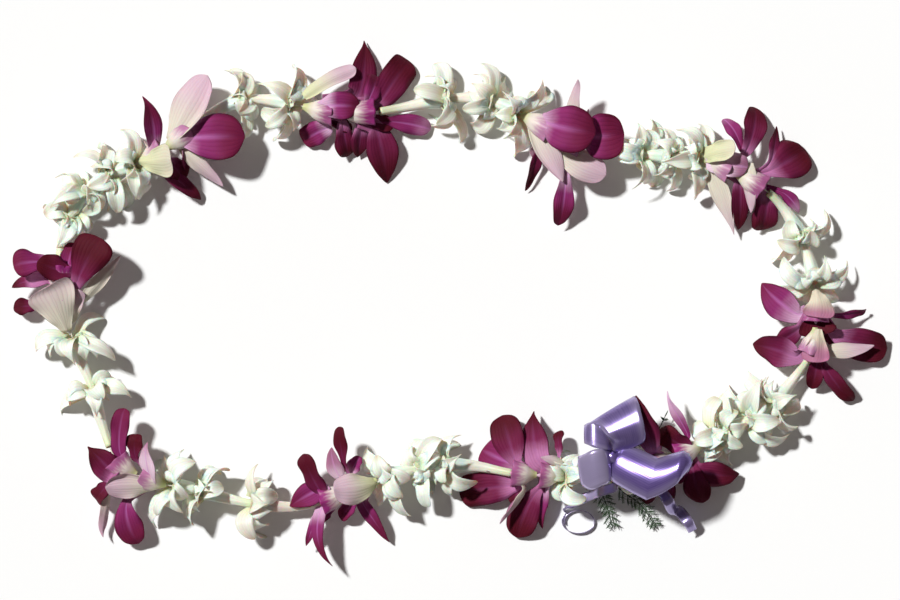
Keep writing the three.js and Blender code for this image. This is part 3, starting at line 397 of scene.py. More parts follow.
# Dendrobium orchids: plan positions of the back and front on the thread, and the blades. A blade's
# own values are where it leaves the heart (at), another outline (shape) or any value of blade.
# Tones: B burgundy, M magenta, L light lilac-magenta, P pale pink, G greenish white, F pale with a
# lilac end.
ORCHIDS = {
    "orchid_01a": ((140, 163), (163, 150), [
        sepal(146, 98, 24, 13, 60, 2, "M", at=(154, 150, 15), hook=3, skew=-1, tint=(0.05, 1.2)),
        petal(174, 160, 24, 18, -80, -3, "G", at=(140, 161, 15), roll=0.1, cup=0.25, shape="fan",
              tint=(0, 0.45)),
        sepal(201, 199, 4, 11, 50, 2, "B", at=(161, 168, 11), tint=(0.15, 1)),
        petal(184, 180, 8, 13, 70, 1, "B", at=(164, 160, 12)), sepal(146, 141, 3, 9, 30, 0, "G"),
        lip(172, 168, 14, 8, 40, 0, "M")]),
    "orchid_01b": ((166, 149), (188, 132), [
        petal(208, 76, 15, 20, -72, -3, "P", at=(171, 141, 16), roll=0.45, skew=1, twist=-14),
        petal(245, 137, 21, 25, 80, 3, "M", at=(180, 139, 15), tint=(0.1, 1), cup=0.1),
        sepal(224, 185, 9, 10, -60, -2, "P", at=(180, 145, 12), hook=1), sepal(188, 176, 4, 9, 40, 0, "B"),
        lip(212, 152, 7, 9, 50, 0, "M")]),
    "orchid_02a": ((303, 108), (333, 112), [
        sepal(356, 69, 12, 9, -66, -2, "G", at=(304, 97, 16), cup=0.4, shape="strap"),
        sepal(365, 40, 4, 16, 70, 1, "B", at=(360, 100, 10), shape="spear", tint=(0.3, 1), twist=0),
        petal(359, 107, 20, 15, 80, 3, "M", at=(316, 108, 16), tint=(-0.3, 1)),
        petal(302, 141, 4, 13, 65, 1, "M", at=(331, 126, 8), shape="strap"),
        petal(349, 157, 5, 12, 65, 1, "B", at=(343, 117, 12)), lip(352, 130, 8, 8, 40, 0, "B")]),
    "orchid_02b": ((337, 112), (374, 112), [
        petal(410, 60, 4, 17, 80, 1, "B", at=(381, 104, 11), shape="strap", tint=(0.3, 1), twist=0,
              cup=0.15),
        petal(431, 129, 3, 11, 80, 1, "M", at=(384, 121, 10), tint=(0.66, 0.22)),
        sepal(388, 183, 3, 17, 76, 1, "B", at=(377, 124, 10), tint=(0.25, 1)),
        petal(378, 76, 10, 12, 60, 2, "M", at=(363, 112, 15), shape="fan"),
        sepal(358, 157, 3, 11, 60, 1, "B", at=(362, 124, 10)), lip(394, 126, 9, 9, 40, 0, "B")]),
    "orchid_03a": ((521, 115), (550, 130), [
        petal(593, 133, 30, 25, 84, 4, "M", at=(541, 121, 18), tint=(0.1, 0.95)),
        sepal(563, 182, 16, 13, -72, -2, "P", at=(532, 122, 14)),
        sepal(526, 191, 3, 8, 40, 1, "B", at=(540, 148, 8), tint=(0.3, 1)),
        sepal(581, 79, 22, 8, -60, -2, "P", at=(572, 128, 12)), petal(540, 160, 5, 12, 50, 0, "P"),
        lip(552, 160, 4, 8, 40, 0, "B")]),
    "orchid_03b": ((553, 132), (580, 145), [
        petal(623, 134, 22, 25, 82, 4, "M", at=(581, 137, 14), tint=(0.15, 1.05)),
        petal(606, 175, 18, 16, -76, -2, "P", at=(556, 150, 14), shape="petal"),
        petal(559, 226, 8, 11, 75, 2, "M", at=(565, 168, 13), tint=(-0.1, 1.1)),
        sepal(590, 110, 12, 9, 40, 0, "P"), lip(597, 166, 6, 8, 40, 0, "P")]),
    "orchid_04a": ((704, 160), (731, 171), [
        petal(736, 149, 26, 11, -72, -2, "G", at=(704, 157, 14), shape="strap", tint=(0, 0.4)),
        sepal(735, 234, 6, 11, -55, -1, "P", at=(711, 168, 12), tint=(0, 0.7), shape="spear"),
        petal(724, 118, 7, 8, 60, 2, "M", at=(742, 152, 12), tint=(0.7, 0.3)),
        petal(757, 106, 5, 13, 66, 2, "B", at=(745, 158, 13), tint=(0.1, 0.9)),
        sepal(740, 230, 5, 12, 64, 2, "B", at=(741, 178, 11), tint=(0.2, 1)),
        petal(745, 168, 22, 13, 66, 0, "L", at=(706, 163, 15), shape="strap", tint=(-0.25, 0.5), curl=3)]),
    "orchid_04b": ((734, 173), (762, 188), [
        sepal(751, 213, 15, 9, -50, -1, "P", at=(749, 163, 17)),
        sepal(777, 126, 5, 8, 56, 1, "B", at=(771, 164, 11)),
        petal(807, 149, 3, 22, 86, 1, "B", at=(770, 172, 11), tint=(0.1, 1.05)),
        petal(762, 231, 5, 14, 68, 2, "B", at=(767, 186, 10), shape="strap"),
        sepal(800, 213, 5, 7, 78, 1, "M", at=(782, 191, 10), tint=(0.6, 0.15))]),
    "orchid_05a": ((815, 298), (815, 322), [
        sepal(761, 284, 6, 17, 66, 2, "M", at=(800, 318, 12), tint=(0.1, 0.8)),
        sepal(867, 311, 5, 5, 50, 1, "M", at=(832, 316, 13), tint=(0.3, 0.9), shape="strap"),
        petal(888, 349, 5, 18, 74, 1, "B", at=(830, 334, 12), hook=1, curl=0),
        sepal(774, 344, 7, 11, 56, 1, "B", at=(801, 328, 12), tint=(0.2, 0.8)),
        petal(817, 318, 23, 17, -72, -2, "F", at=(815, 290, 18), shape="fan", tint=(-0.5, 0.8)),
        petal(818, 334, 17, 20, 50, 0, "B", at=(817, 312, 13), shape="fan", tint=(0.4, 1)),
        sepal(842, 354, 4, 9, 50, 0, "B")]),
    "orchid_05b": ((815, 327), (811, 352), [
        petal(753, 345, 5, 17, 74, 2, "B", at=(799, 360, 13), tint=(0.05, 0.95), shape="sepal", sway=-2),
        sepal(874, 346, 11, 9, -70, -1, "P", at=(822, 351, 14), tint=(0, 1.1)),
        petal(854, 402, 5, 10, 72, 2, "B", at=(820, 360, 11), tint=(0.2, 1.1)),
        lip(812, 389, 6, 9, 60, 1, "B"),
        petal(814, 362, 18, 15, -64, -1, "F", at=(818, 329, 19), shape="fan", tint=(-0.2, 1))]),
    "orchid_06a": ((703, 444), (676, 456), [
        sepal(665, 393, 18, 8, 44, 1, "M", at=(692, 438, 13), tint=(0.5, 0.02), hook=2),
        petal(703, 503, 7, 15, 76, 2, "B", at=(693, 462, 11), tint=(0.35, 1)),
        petal(740, 475, 8, 14, 78, 2, "B", at=(695, 470, 11), shape="sepal", tint=(0.35, 1)),
        petal(661, 432, 19, 13, 60, 1, "B", at=(689, 449, 14), hook=3, shape="strap", tint=(0.3, 1)),
        lip(676, 482, 8, 9, 50, 0, "M")]),
    "orchid_06b": ((675, 456), (650, 463), [
        petal(634, 397, 33, 14, 72, 2, "B", at=(652, 453, 22), tint=(0.15, 1), shape="sepal"),
        petal(640, 502, 3, 12, 60, 1, "B"), sepal(668, 508, 3, 12, 60, 1, "B"),
        sepal(662, 428, 8, 9, 40, 0, "B"), lip(640, 480, 6, 8, 40, 0, "M")]),
    "orchid_07a": ((561, 476), (539, 475), [
        petal(558, 431, 9, 7, 66, 1, "B", at=(560, 458, 14), shape="fan"),
        sepal(533, 411, 8, 16, 72, 2, "B", at=(537, 464, 14), hook=2, tint=(-0.05, 1), shape="spear"),
        petal(517, 538, 3, 17, 82, 2, "B", at=(538, 488, 10), tint=(0.2, 1)),
        sepal(542, 529, 5, 8, 50, 1, "M", at=(547, 484, 11)),
        sepal(540, 457, 20, 5, -60, -1, "P", at=(563, 464, 16))]),
    "orchid_07b": ((537, 475), (513, 473), [
        petal(502, 416, 6, 18, 80, 2, "B", at=(516, 467, 14), tint=(0.1, 1)),
        petal(459, 494, 2, 18, 82, 1, "B", at=(512, 487, 9), shape="strap", tint=(0.15, 1)),
        sepal(499, 523, 14, 8, 0, -1, "L", at=(528, 488, 14), cup=0.6),
        petal(481, 450, 6, 18, 80, 1, "M", at=(515, 466, 12), tint=(0.2, 0.8)),
        lip(514, 505, 7, 10, 60, 0, "B", at=(520, 480, 10))]),
    "orchid_08a": ((377, 481), (351, 490), [
        petal(339, 427, 22, 9, 60, 2, "B", at=(346, 474, 15), shape="fan", tint=(0.2, 1.1)),
        petal(333, 489, 28, 17, -80, -3, "G", at=(376, 483, 15), cup=0.35),
        sepal(389, 543, 5, 8, 60, 1, "M", at=(359, 500, 11), tint=(0.3, 1.1), shape="spear"),
        petal(360, 457, 14, 8, 50, 0, "M", at=(350, 478, 12), tint=(0, 0.7)),
        sepal(331, 448, 19, 10, 60, 1, "L", at=(341, 480, 14), tint=(0, 0.7)),
        lip(340, 520, 4, 9, 50, 0, "M")]),
    "orchid_08b": ((349, 490), (323, 501), [
        petal(303, 455, 22, 11, 66, 2, "B", at=(323, 495, 14), shape="strap", tint=(0.25, 1.1)),
        sepal(290, 506, 14, 13, 76, 1, "M", at=(325, 486, 13), tint=(0.25, 0.9)),
        sepal(306, 546, 8, 5, 66, 1, "M", at=(316, 513, 11)),
        sepal(331, 566, 16, 8, 66, 3, "M", at=(323, 505, 13), sway=-4, shape="spear", tint=(0, 1.2)),
        lip(318, 522, 8, 8, 50, 0, "M")]),
    "orchid_09a": ((166, 485), (140, 476), [
        sepal(146, 443, 24, 13, 40, 2, "L", at=(153, 482, 16), tint=(-0.3, 0.4)),
        petal(137, 435, 20, 11, 62, 2, "B", at=(138, 463, 14), shape="fan", tint=(0.2, 1.1)),
        petal(138, 544, 8, 15, 80, 2, "M", at=(125, 498, 12), tint=(0.3, 0.95), sway=-2),
        petal(106, 487, 22, 14, -74, -2, "P", at=(154, 486, 15), cup=0.3),
        lip(128, 492, 7, 9, 40, 0, "M")]),
    "orchid_09b": ((137, 474), (117, 460), [
        petal(124, 409, 19, 10, 72, 1, "M", at=(119, 457, 14), shape="strap", tint=(0.45, 0.8)),
        petal(88, 447, 16, 15, 62, 2, "B", at=(113, 474, 13), shape="spear", tint=(0.2, 0.95)),
        petal(95, 500, 8, 11, 62, 1, "B", at=(113, 479, 12), shape="fan", tint=(0.2, 1.1)),
        sepal(99, 536, 6, 7, -40, -1, "L", at=(107, 490, 10)), lip(104, 454, 7, 7, 40, 0, "B")]),
    "orchid_10a": ((69, 325), (64, 300), [
        petal(48, 285, 24, 26, -72, -2, "P", at=(67, 331, 14), shape="fan", cup=0.15, hook=3,
              tint=(0, 0.6)),
        petal(13, 308, 8, 9, 64, 1, "B", at=(38, 306, 8), tint=(0.2, 1.1)),
        sepal(121, 256, 15, 8, -60, -1, "P", at=(79, 304, 14), tint=(0, 0.6)),
        petal(80, 289, 18, 9, -70, -1, "P", at=(70, 322, 13), shape="strap"),
        lip(44, 296, 6, 9, 40, 0, "B")]),
    "orchid_10b": ((63, 298), (59, 268), [
        petal(101, 238, 22, 22, 76, 3, "B", at=(75, 290, 16), shape="fan", tint=(0.1, 1.2), cup=0.1),
        petal(16, 264, 22, 15, 66, 2, "M", at=(54, 262, 14), shape="fan", tint=(0.1, 0.85)),
        sepal(12, 287, 13, 12, 45, 2, "B", at=(50, 279, 13), tint=(-0.7, 1)),
        petal(38, 262, 21, 14, 70, 1, "B", at=(74, 273, 15), tint=(0.3, 1)),
        lip(74, 243, 13, 9, 30, 0, "M")]),
}

# Tone of the inner side and of the back: darkness, paleness, greenness.
TONES = {
    "B": ((1.0, 0.0, 0.0), (0.75, 0.25, 0.0)),
    "M": ((0.4, 0.0, 0.0), (0.35, 0.5, 0.0)),
    "L": ((0.1, 0.25, 0.0), (0.15, 0.7, 0.1)),
    "P": ((0.15, 0.55, 0.1), (0.0, 1.0, 0.15)),
    "G": ((0.1, 0.6, 0.5), (0.0, 1.0, 0.85)),
    "F": ((0.1, 0.25, 0.0), (0.1, 0.1, 0.3)),
}

ROOT_RADIUS = 4.0
SEAT_SHARE = 0.6
BELL_FLUTES = (0.02, 0.16)
BORE_RADIUS = 1.2
# The bell from its narrow end to its mouth and back: share of the length, radius
BELL_OUTSIDE = [(0, 1.7), (0.1, 2.2), (0.28, 3.7), (0.46, 5.3), (0.7, 6.5), (1, 7.2)]
BELL_INSIDE = [(0.98, 6.5), (0.8, 5.2), (0.62, 3.2), (0.46, BORE_RADIUS), (0, BORE_RADIUS)]
COLUMN_LENGTH = 5.0
COLUMN_RADIUS = 1.1
COLUMN_RISE = 3.2
ORCHID_BLADES = {
    "petal": {"cup": 0.22, "ruffle": 1.3, "waves": 1.7, "thickness": 0.8, "rows": 30,
              "half_columns": 9, "groove": 0.45},
    "sepal": {"cup": 0.28, "ruffle": 0.7, "waves": 1.3, "thickness": 0.8, "rows": 26,
              "half_columns": 6, "groove": 0.4},
    "lip": {"cup": 0.5, "ruffle": 0.9, "waves": 3.0, "thickness": 0.8, "rows": 20,
            "half_columns": 7},
}


def orchid(name, number):
    back, front, blades = ORCHIDS[name]
    random = make_random(500 + number)
    start = distance_near(*back)
    length = distance_near(*front) - start
    point, along = station(start + length * SEAT_SHARE)[:2]
    heart = sum(TONES[row[7]][1][0] > 0.3 for row in blades) / len(blades)
    skin = Skin()
    outside, inside = ([(length * share, radius) for share, radius in profile]
                       for profile in (BELL_OUTSIDE, BELL_INSIDE))
    tube_skin(skin, start, outside, inside, (heart, 0.0, 0.0), 1, flutes=BELL_FLUTES)
    for kind, x, y, z, width, face, bow, tone, own in blades:
        tip = plan(x, y, z)
        radial = tip - point
        radial = unit(radial - along * radial.dot(along))
        front_tone, back_tone = TONES[tone]
        shade = (random() - 0.5) * 0.16
        front_tone = (min(max(front_tone[0] + shade, 0), 1),) + front_tone[1:]
        spec = dict(
            ORCHID_BLADES[kind], kind=kind, root=point + radial * ROOT_RADIUS, tip=tip,
            width=width, forward=along, face=face, bow=bow, tone=front_tone,
            back_tone=(back_tone[0], back_tone[1], 1.0 + back_tone[2]),
            phase=random() * 6.3, curl=(random() - 0.35) * 2.4,
            roll=0.35 * random(), twist=(random() - 0.5) * 24, sway=(random() - 0.5) * 2.4,
            skew=(random() - 0.5) * 1.6, hook=random() * 1.8)
        own = dict(own)
        if "at" in own:
            own["root"] = plan(*own.pop("at"))
            inward = spec["root"] - own["root"]
            if inward.dot(tip - own["root"]) < 0:
                own["claw"] = spec["root"]
        if "shape" in own:
            own["kind"] = own.pop("shape")
        blade(skin, **dict(spec, **own))
    column(skin, start, length)
    return skin.make(name + "_bloom", (orchid_petal, orchid_heart), "orchid_petal", name)


def column(skin, start, length):
    """The small waxy column that stands in the bloom's mouth, with its rounded cap."""
    sides, rows = 10, 9
    at, _, side, up = station(start + length * 0.7 + np.linspace(0, COLUMN_LENGTH, rows))
    rounding = np.sqrt(np.clip(1 - np.linspace(-0.55, 0.98, rows) ** 2, 0.02, 1))
    radius = (COLUMN_RADIUS * rounding)[:, None]
    angle = np.arange(sides) / sides * 2 * math.pi
    rings = rings_about(at + up * COLUMN_RISE, side, up, angle, radius * 1.1, radius * 0.75)
    skin.loft(rings[:, ::-1], np.arange(sides + 1) / sides, np.linspace(0.5, 1, rows),
              (0.5, 0.4, 0.2), 1)


# Tuberose florets: plan positions of the narrow end and the mouth, mean reach of the lobes from
# the thread, how far the lobes curl back, and how pink the tube is.
TUBEROSES = [
    ((109, 447), (93, 388), 17, 2, 0.1), ((95, 398), (71, 337), 18, 3, 0.1),
    ((58, 258), (70, 214), 12, 4, 0.1), ((66, 226), (86, 191), 15, 2, 0.0),
    ((80, 198), (110, 173), 17, 0, 0.0), ((102, 178), (136, 164), 16, 1, 0.1),
    ((193, 128), (243, 100), 17, -1, 0.3), ((236, 102), (292, 104), 16, 1, 0.4),
    ((380, 112), (446, 99), 18, 0, 0.3), ((438, 100), (492, 102), 16, 3, 0.4),
    ((484, 100), (517, 113), 20, -3, 0.0), ((588, 148), (643, 154), 18, -1, 0.0),
    ((636, 154), (673, 157), 14, 3, 0.0), ((666, 157), (700, 159), 16, 1, 0.1),
    ((768, 192), (801, 238), 14, 0, 0.0), ((796, 226), (813, 284), 16, 1, 0.2),
    ((808, 360), (772, 404), 17, 1, 0.4), ((779, 398), (750, 419), 16, 2, 0.2),
    ((757, 415), (726, 431), 15, 1, 0.0), ((737, 425), (713, 437), 15, 1, 0.0),
    ((651, 463), (624, 469), 12, 1, 0.0), ((600, 473), (564, 477), 15, -2, 0.2),
    ((512, 473), (446, 465), 17, 0, 0.2), ((453, 465), (419, 468), 16, 1, 0.0),
    ((426, 468), (388, 476), 18, -5, 0.1), ((322, 501), (252, 504), 17, 2, 0.8),
    ((259, 504), (200, 490), 16, 0, 0.1), ((207, 492), (172, 486), 18, -4, 0.0),
]
TUBEROSE_LOBES = 6
TUBE_NECK = 2.15
LOBE_ROOT = TUBE_NECK + 3
LOBE_WIDTH = 9.0
LOBE_WIDTH_SPREAD = 2.2
LOBE_TURN_SPREAD = 0.25
LOBE_TURN = 20
LOBE_TWIST = 55
LOBE_SWAY = 15
LOBE_BOW = 2.4
LOBE_CUP = 0.22
LOBE_DROP = 0.4
LOBE_LEAN = 0.5
LOBE_DROOP = 0.22
LOBE_LEAST = 0.9
LOBE_SPREAD = 0.36
INNER_LOBES = 4
INNER_REACH = 0.66
SPEAR_SHARE = 0.35
TRUMPET_FLUTES = (0.03, 0.16)
LONGEST_MOUTH = 11
FITTED_SHARES = (1.12, 1.0, 0.88, 0.76, 0.64, 0.5)
FITTED_LEANS = (0, -4, 4, -8, 8)


def piece_tree(piece):
    """A search tree over a piece's faces, in millimetres."""
    points = [v.co / MM for v in piece.data.vertices]
    return BVHTree.FromPolygons(points, [tuple(p.vertices) for p in piece.data.polygons])


def fitted(spec, along, neighbours):
    """The lobe at its full length, leant or shortened where that keeps it out of its neighbours."""
    root, tip = spec["root"], spec["tip"]
    for share in FITTED_SHARES:
        for lean in FITTED_LEANS:
            trial = dict(spec, tip=root + (tip - root) * share + along * lean)
            skin = Skin()
            blade(skin, **dict(trial, rows=6, half_columns=2))
            points = [Vector(p) for p in np.concatenate(skin.points)]
            tree = BVHTree.FromPolygons(points, skin.faces)
            if not any(tree.overlap(other) for other in neighbours):
                return trial
    return trial


def tuberose(number, neighbours):
    narrow, mouth_at, reach, curl, pink = TUBEROSES[number]
    random = make_random(100 + number)
    own = make_random(900 + number)
    start = distance_near(*narrow)
    length = distance_near(*mouth_at) - start
    mouth = min(LONGEST_MOUTH, length / 2)
    phase = random() * math.pi * 2
    turn = math.pi * 2 / TUBEROSE_LOBES
    skin = Skin()
    outside = [(0, -0.1), (length * 0.3, 0.2), (length - mouth - 1, 1.1), (length - 4, 2.0),
               (length - 1.2, 3.2), (length + 0.3, 4.3)]
    inside = [(length + 0.2, 3.7), (length - 2, 2.0), (length - mouth, 0.6)]
    outside, inside = ([(offset, TUBE_NECK + more) for offset, more in profile]
                       for profile in (outside, inside))
    inside += [(offset, BORE_RADIUS) for offset in (length - mouth - 1.5, length * 0.3, 0)]
    tube_skin(skin, start, outside, inside, (pink, 0, 0), 0, turn=phase, flutes=TRUMPET_FLUTES)
    point, along, side, above = station(start + length)
    for k in range(TUBEROSE_LOBES + INNER_LOBES):
        if k < TUBEROSE_LOBES:
            angle = phase + (k + 0.5 + (random() - 0.5) * LOBE_TURN_SPREAD) * turn
            reached = reach
        else:
            # A shorter inner whorl, as double florets have, stands above the surface.
            angle = math.pi * (k - TUBEROSE_LOBES + 0.2 + 0.6 * own()) / INNER_LOBES
            reached = reach * INNER_REACH
        outward = side * math.cos(angle) + above * math.sin(angle)
        far = reached * (LOBE_LEAST + random() * LOBE_SPREAD)
        # Upper lobes lean back over the tube, and those at the sides droop.
        upper, level = max(math.sin(angle), 0), 1 - abs(math.sin(angle))
        tip = (point + outward * far - above * far * LOBE_DROP * upper ** 2
               - UP * far * LOBE_DROOP * level
               + along * (1 - curl + (random() - 0.5) * LOBE_SWAY - far * LOBE_LEAN * upper))
        width = LOBE_WIDTH + (random() - 0.5) * LOBE_WIDTH_SPREAD
        spec = {
            "kind": "spear" if own() < SPEAR_SHARE else "lobe",
            "root": point + outward * (LOBE_ROOT - 1.6) - along * 1.2,
            "tip": tip, "width": width + 0.6, "forward": along,
            "face": LOBE_TURN + random() * LOBE_TWIST, "bow": LOBE_BOW + own() * 1.6,
            "cup": LOBE_CUP + own() * 0.25, "thickness": 1.1, "tone": (pink * 0.4, own(), 0),
            "back_tone": (pink * 0.6, own(), 1.0), "rows": 18, "half_columns": 5, "groove": 0.3,
            "ruffle": 0.5, "waves": 1.2, "phase": own() * 6.3, "curl": 0.4 + own() * 4.4,
            "roll": -0.2 + own() * 0.55, "twist": (own() - 0.5) * 90, "sway": (own() - 0.5) * 5,
            "hook": own() * 2.5, "skew": (own() - 0.5) * 1.6,
        }
        blade(skin, **fitted(spec, along, neighbours))
    return skin.make(f"tuberose_{number + 1:02d}_floret", (tuberose_petal,), "tuberose_petal",
                     f"tuberose_{number + 1:02d}")


# The bow's loops: plan x, plan y and height of the ribbon's right edge and then of its left edge.
BOW_LOOPS = [
    [(611, 460, 27.5, 617, 451, 28.5), (609, 477, 28, 628, 445, 28), (624, 488, 31.5, 642, 450, 31),
     (645, 499, 34.5, 657, 457, 34.5), (661, 492, 38, 670, 453, 35.5),
     (675, 483, 40, 682, 449.5, 37), (688, 468, 36, 687.5, 453, 34.5), (683, 474, 28, 681, 457, 28),
     (655, 485, 24.5, 655, 463, 24.5), (611, 461, 24.3, 616, 453, 24.3)],
    [(624, 450, 28, 612, 450, 28), (643, 441, 33.5, 612, 443, 31), (643, 426, 38.4, 607, 436, 34.4),
     (640, 412, 37.6, 602, 430, 33.4), (637, 401, 34.4, 595, 424, 30.4), (634, 396, 30, 590, 422, 27),
     (632, 402, 26.6, 596, 424, 24.6), (621, 447, 25.1, 612, 447, 24.6)],
    [(614, 446, 27.6, 611, 450, 27.6), (604, 431, 31.6, 606, 449, 33), (593, 422, 31.6, 594, 447, 33.4),
     (585, 424, 28.6, 585, 443, 30.4), (587, 428, 26, 587, 444, 27), (612, 447, 24.9, 610, 452, 24.9)],
    [(611, 451, 27, 611, 462, 26.5), (602, 448, 33.4, 609, 480, 31.4), (592, 449, 34, 600, 485, 32.4),
     (584, 453, 32, 590, 489, 30.2), (578, 456, 29, 581, 484, 27.2), (582, 458, 26, 585, 480, 25.2),
     (610, 453, 24.2, 610, 463, 24.2)],
]
BOW_CROWNS = (3.2, 0.4, 0.3, 0.6)
BOW_CREASES = ((3, 5), (), (), ())
# Painted sheen: how much paler each loop and each tail is painted, for the light it catches.
BOW_PAINTED_SHEENS = (0.0, 0.1, 0.2, 0.65)
TAIL_PAINTED_SHEENS = (0.35, 0.6)
BOW_KNOT = (613, 457, 26.5)
# Narrow turns round the knot: bearing in radians and radius. Their section: share of the half
# width, share of the radius.
KNOT_TURNS = ((0.35, 4.6), (-0.55, 4.9))
KNOT_PROFILE = ((-1, 0.75), (-0.5, 1.03), (0, 1.1), (0.5, 1.03), (1, 0.75), (0.4, 0.6), (-0.4, 0.6))
KNOT_HALF_WIDTH = 3.1
COLLAR = {"start": 3.0, "end": 6.4, "radius": 3.2}
# Stations of the tails and the tie: plan x, plan y, height, bearing and lift of the edge, width
TIE_STRAP = [(606, 471, 13, 0, 0, 4), (608, 465, 19.6, 0, 0, 5), (612.5, 458.2, 25.3, 0, 0, 5.2)]
RIGHT_TAIL = [
    (616, 460, 25.6, 60, 0, 4), (645, 482, 20, 50, 0, 5), (660, 490, 12, 42, 0, 5.5),
    (668, 501, 15, 30, 0, 6), (673, 510, 9, 30, 0, 6), (680, 512, 7, 36, 0, 6),
    (688, 522, 10.6, 34, 0, 5.6), (693, 531, 6, 30, 0, 5),
]
LEFT_TAIL = [
    (613, 460, 23.7, 60, 0, 3.6), (617, 484, 15, 85, -10, 5), (602, 491, 12.4, 75, -12, 5.4),
    (585, 498, 8, 68, 10, 5), (566, 509, 4, 60, 60, 4),
]
CURL = {"x": 579, "y": 522, "rx": 17, "ry": 12.5, "from": 0.78, "turns": 1.15, "steps": 16,
        "height": 1.7, "width": 2.4, "shrink": 0.16, "taper": 0.4}
RIBBON_THICKNESS = 0.4
RIBBON_WIDTH = 20.0
CROWN_HALF = 8.0


def curl_stations():
    """The left tail runs out in a thin curl that stands on its edge."""
    stations = []
    for i in range(CURL["steps"] + 1):
        share = i / CURL["steps"]
        angle = math.pi * (CURL["from"] + share * CURL["turns"] * 2)
        size = 1 - share * CURL["shrink"]
        stations.append((
            CURL["x"] + math.cos(angle) * CURL["rx"] * size,
            CURL["y"] - math.sin(angle) * CURL["ry"] * size,
            CURL["height"], 0, 90, CURL["width"] * (1 - share * CURL["taper"])))
    return stations


def ribbon_strip(skin, left, right, crown=0.0, half_columns=5, painted_sheen=0.0):
    """A thin strip between two edges, arched by its crown and painted paler by its share of painted sheen,
    for the light it catches. Gives its area.
    """
    middle = (left + right) / 2
    tangent = unit(np.gradient(middle, axis=0))
    edge = unit(right - left)
    half = np.linalg.norm(right - left, axis=1) / 2
    normal = unit(np.cross(tangent, edge))
    u = np.linspace(-1, 1, 2 * half_columns + 1)
    distance = np.concatenate([[0], np.cumsum(np.linalg.norm(np.diff(middle, axis=0), axis=1))])
    arch = crown * (1 - u[None] ** 2) * np.minimum(half[:, None] / CROWN_HALF, 1)
    centre = (middle[:, None] + edge[:, None] * (u[None] * half[:, None])[..., None]
              + normal[:, None] * arch[..., None])
    thin = normal[:, None] * RIBBON_THICKNESS / 2
    rings = np.concatenate([centre - thin, (centre + thin)[:, ::-1]], axis=1)
    rings[..., 2] = np.maximum(rings[..., 2], LEAST_HEIGHT)
    share = (u + 1) / 2
    around = np.concatenate([share, share[::-1], share[:1]])
    skin.loft(rings, around, distance / RIBBON_WIDTH, (painted_sheen, 0, 0))
    return float((np.diff(distance) * (half[1:] + half[:-1])).sum())


def looped(skin, stations, crown, creases, painted_sheen):
    """A loop through its edge stations, with a sharp bend at each crease."""
    table = np.array([np.concatenate([plan(*s[:3]), plan(*s[3:])]) for s in stations])
    cuts = [0, *creases, len(table) - 1]
    spans = [spline(table[a:b + 1], 10)[:-1] for a, b in zip(cuts, cuts[1:])]
    edges = np.concatenate(spans + [table[-1:]])
    return ribbon_strip(skin, edges[:, :3], edges[:, 3:], crown, painted_sheen=painted_sheen)


def trailed(skin, stations, crown=0.0, steps=10, painted_sheen=0.0):
    """A tail through stations of its middle line, turned by bearing and lift."""
    table = np.asarray(stations, dtype=float)
    middle = spline(np.array([plan(*s[:3]) for s in table]), steps)
    turns = spline(table[:, 3:6], steps)
    bearing, lift = np.radians(turns[:, 0]), np.radians(turns[:, 1])
    tangent = unit(np.gradient(middle, axis=0))
    edge = np.stack([np.cos(bearing) * np.cos(lift), np.sin(bearing) * np.cos(lift),
                     np.sin(lift)], axis=1)
    edge = unit(edge - tangent * (edge * tangent).sum(axis=1, keepdims=True))
    edge = edge * np.maximum(turns[:, 2:], 0.5) / 2
    return ribbon_strip(skin, middle - edge, middle + edge, crown, 3, painted_sheen)


def ribbon_bow():
    skin = Skin()
    area = 0.0
    for row in zip(BOW_LOOPS, BOW_CROWNS, BOW_CREASES, BOW_PAINTED_SHEENS):
        area += looped(skin, *row)
    area += trailed(skin, TIE_STRAP)
    area += trailed(skin, RIGHT_TAIL, 0.8, painted_sheen=TAIL_PAINTED_SHEENS[0])
    area += trailed(skin, LEFT_TAIL + curl_stations(), steps=6, painted_sheen=TAIL_PAINTED_SHEENS[1])
    # The middle is wrapped twice by a narrow turn of the same ribbon.
    centre = plan(*BOW_KNOT)
    for tilt, radius in KNOT_TURNS:
        turn = np.linspace(0, 2 * math.pi, 29)[:-1]
        out = np.stack([np.cos(turn) * math.cos(tilt), np.cos(turn) * math.sin(tilt),
                        np.sin(turn) * 0.8], axis=1)
        axis = np.array([-math.sin(tilt), math.cos(tilt), 0.0])
        rings = [centre + out * radius * reach + axis * KNOT_HALF_WIDTH * shift
                 for shift, reach in KNOT_PROFILE]
        rings = np.stack(rings, axis=1)
        skin.loft(rings, np.linspace(0, 1, len(KNOT_PROFILE) + 1),
                  np.linspace(0, 1.4, len(turn) + 1), ends="loop")
    offsets = np.linspace(COLLAR["start"], COLLAR["end"], 5)
    outer = sheath_rings(0, offsets, [3.0, 3.2, 3.25, 3.2, 3.0], 20)
    inner = sheath_rings(0, offsets[::-1], [BORE_RADIUS] * 5, 20)
    rings = np.concatenate([outer, inner])[:, ::-1]
    skin.loft(rings, np.linspace(0, 1, 21), np.linspace(0, 1, 11), ends="loop")
    return skin.make("ribbon_bow_strips", (ribbon,), "ribbon", "ribbon_bow"), area


# Plumosus fern sprigs: where each leaves the tie, how many side twigs, their reach, and its rib.
FERNS = [
    (290, 9, 6, [(601, 488, 5), (607, 506, 3.5), (613, 528, 2)]),
    (340, 10, 6, [(623, 492, 5), (642, 506, 3), (657, 529, 2)]),
    (215, 8, 3.6, [(614, 445, 5), (650, 440, 5), (668, 411, 7)]),
]
FERN_RIB = 1.2
FERN_NEEDLES = 6
FERN_GAP = 0.3


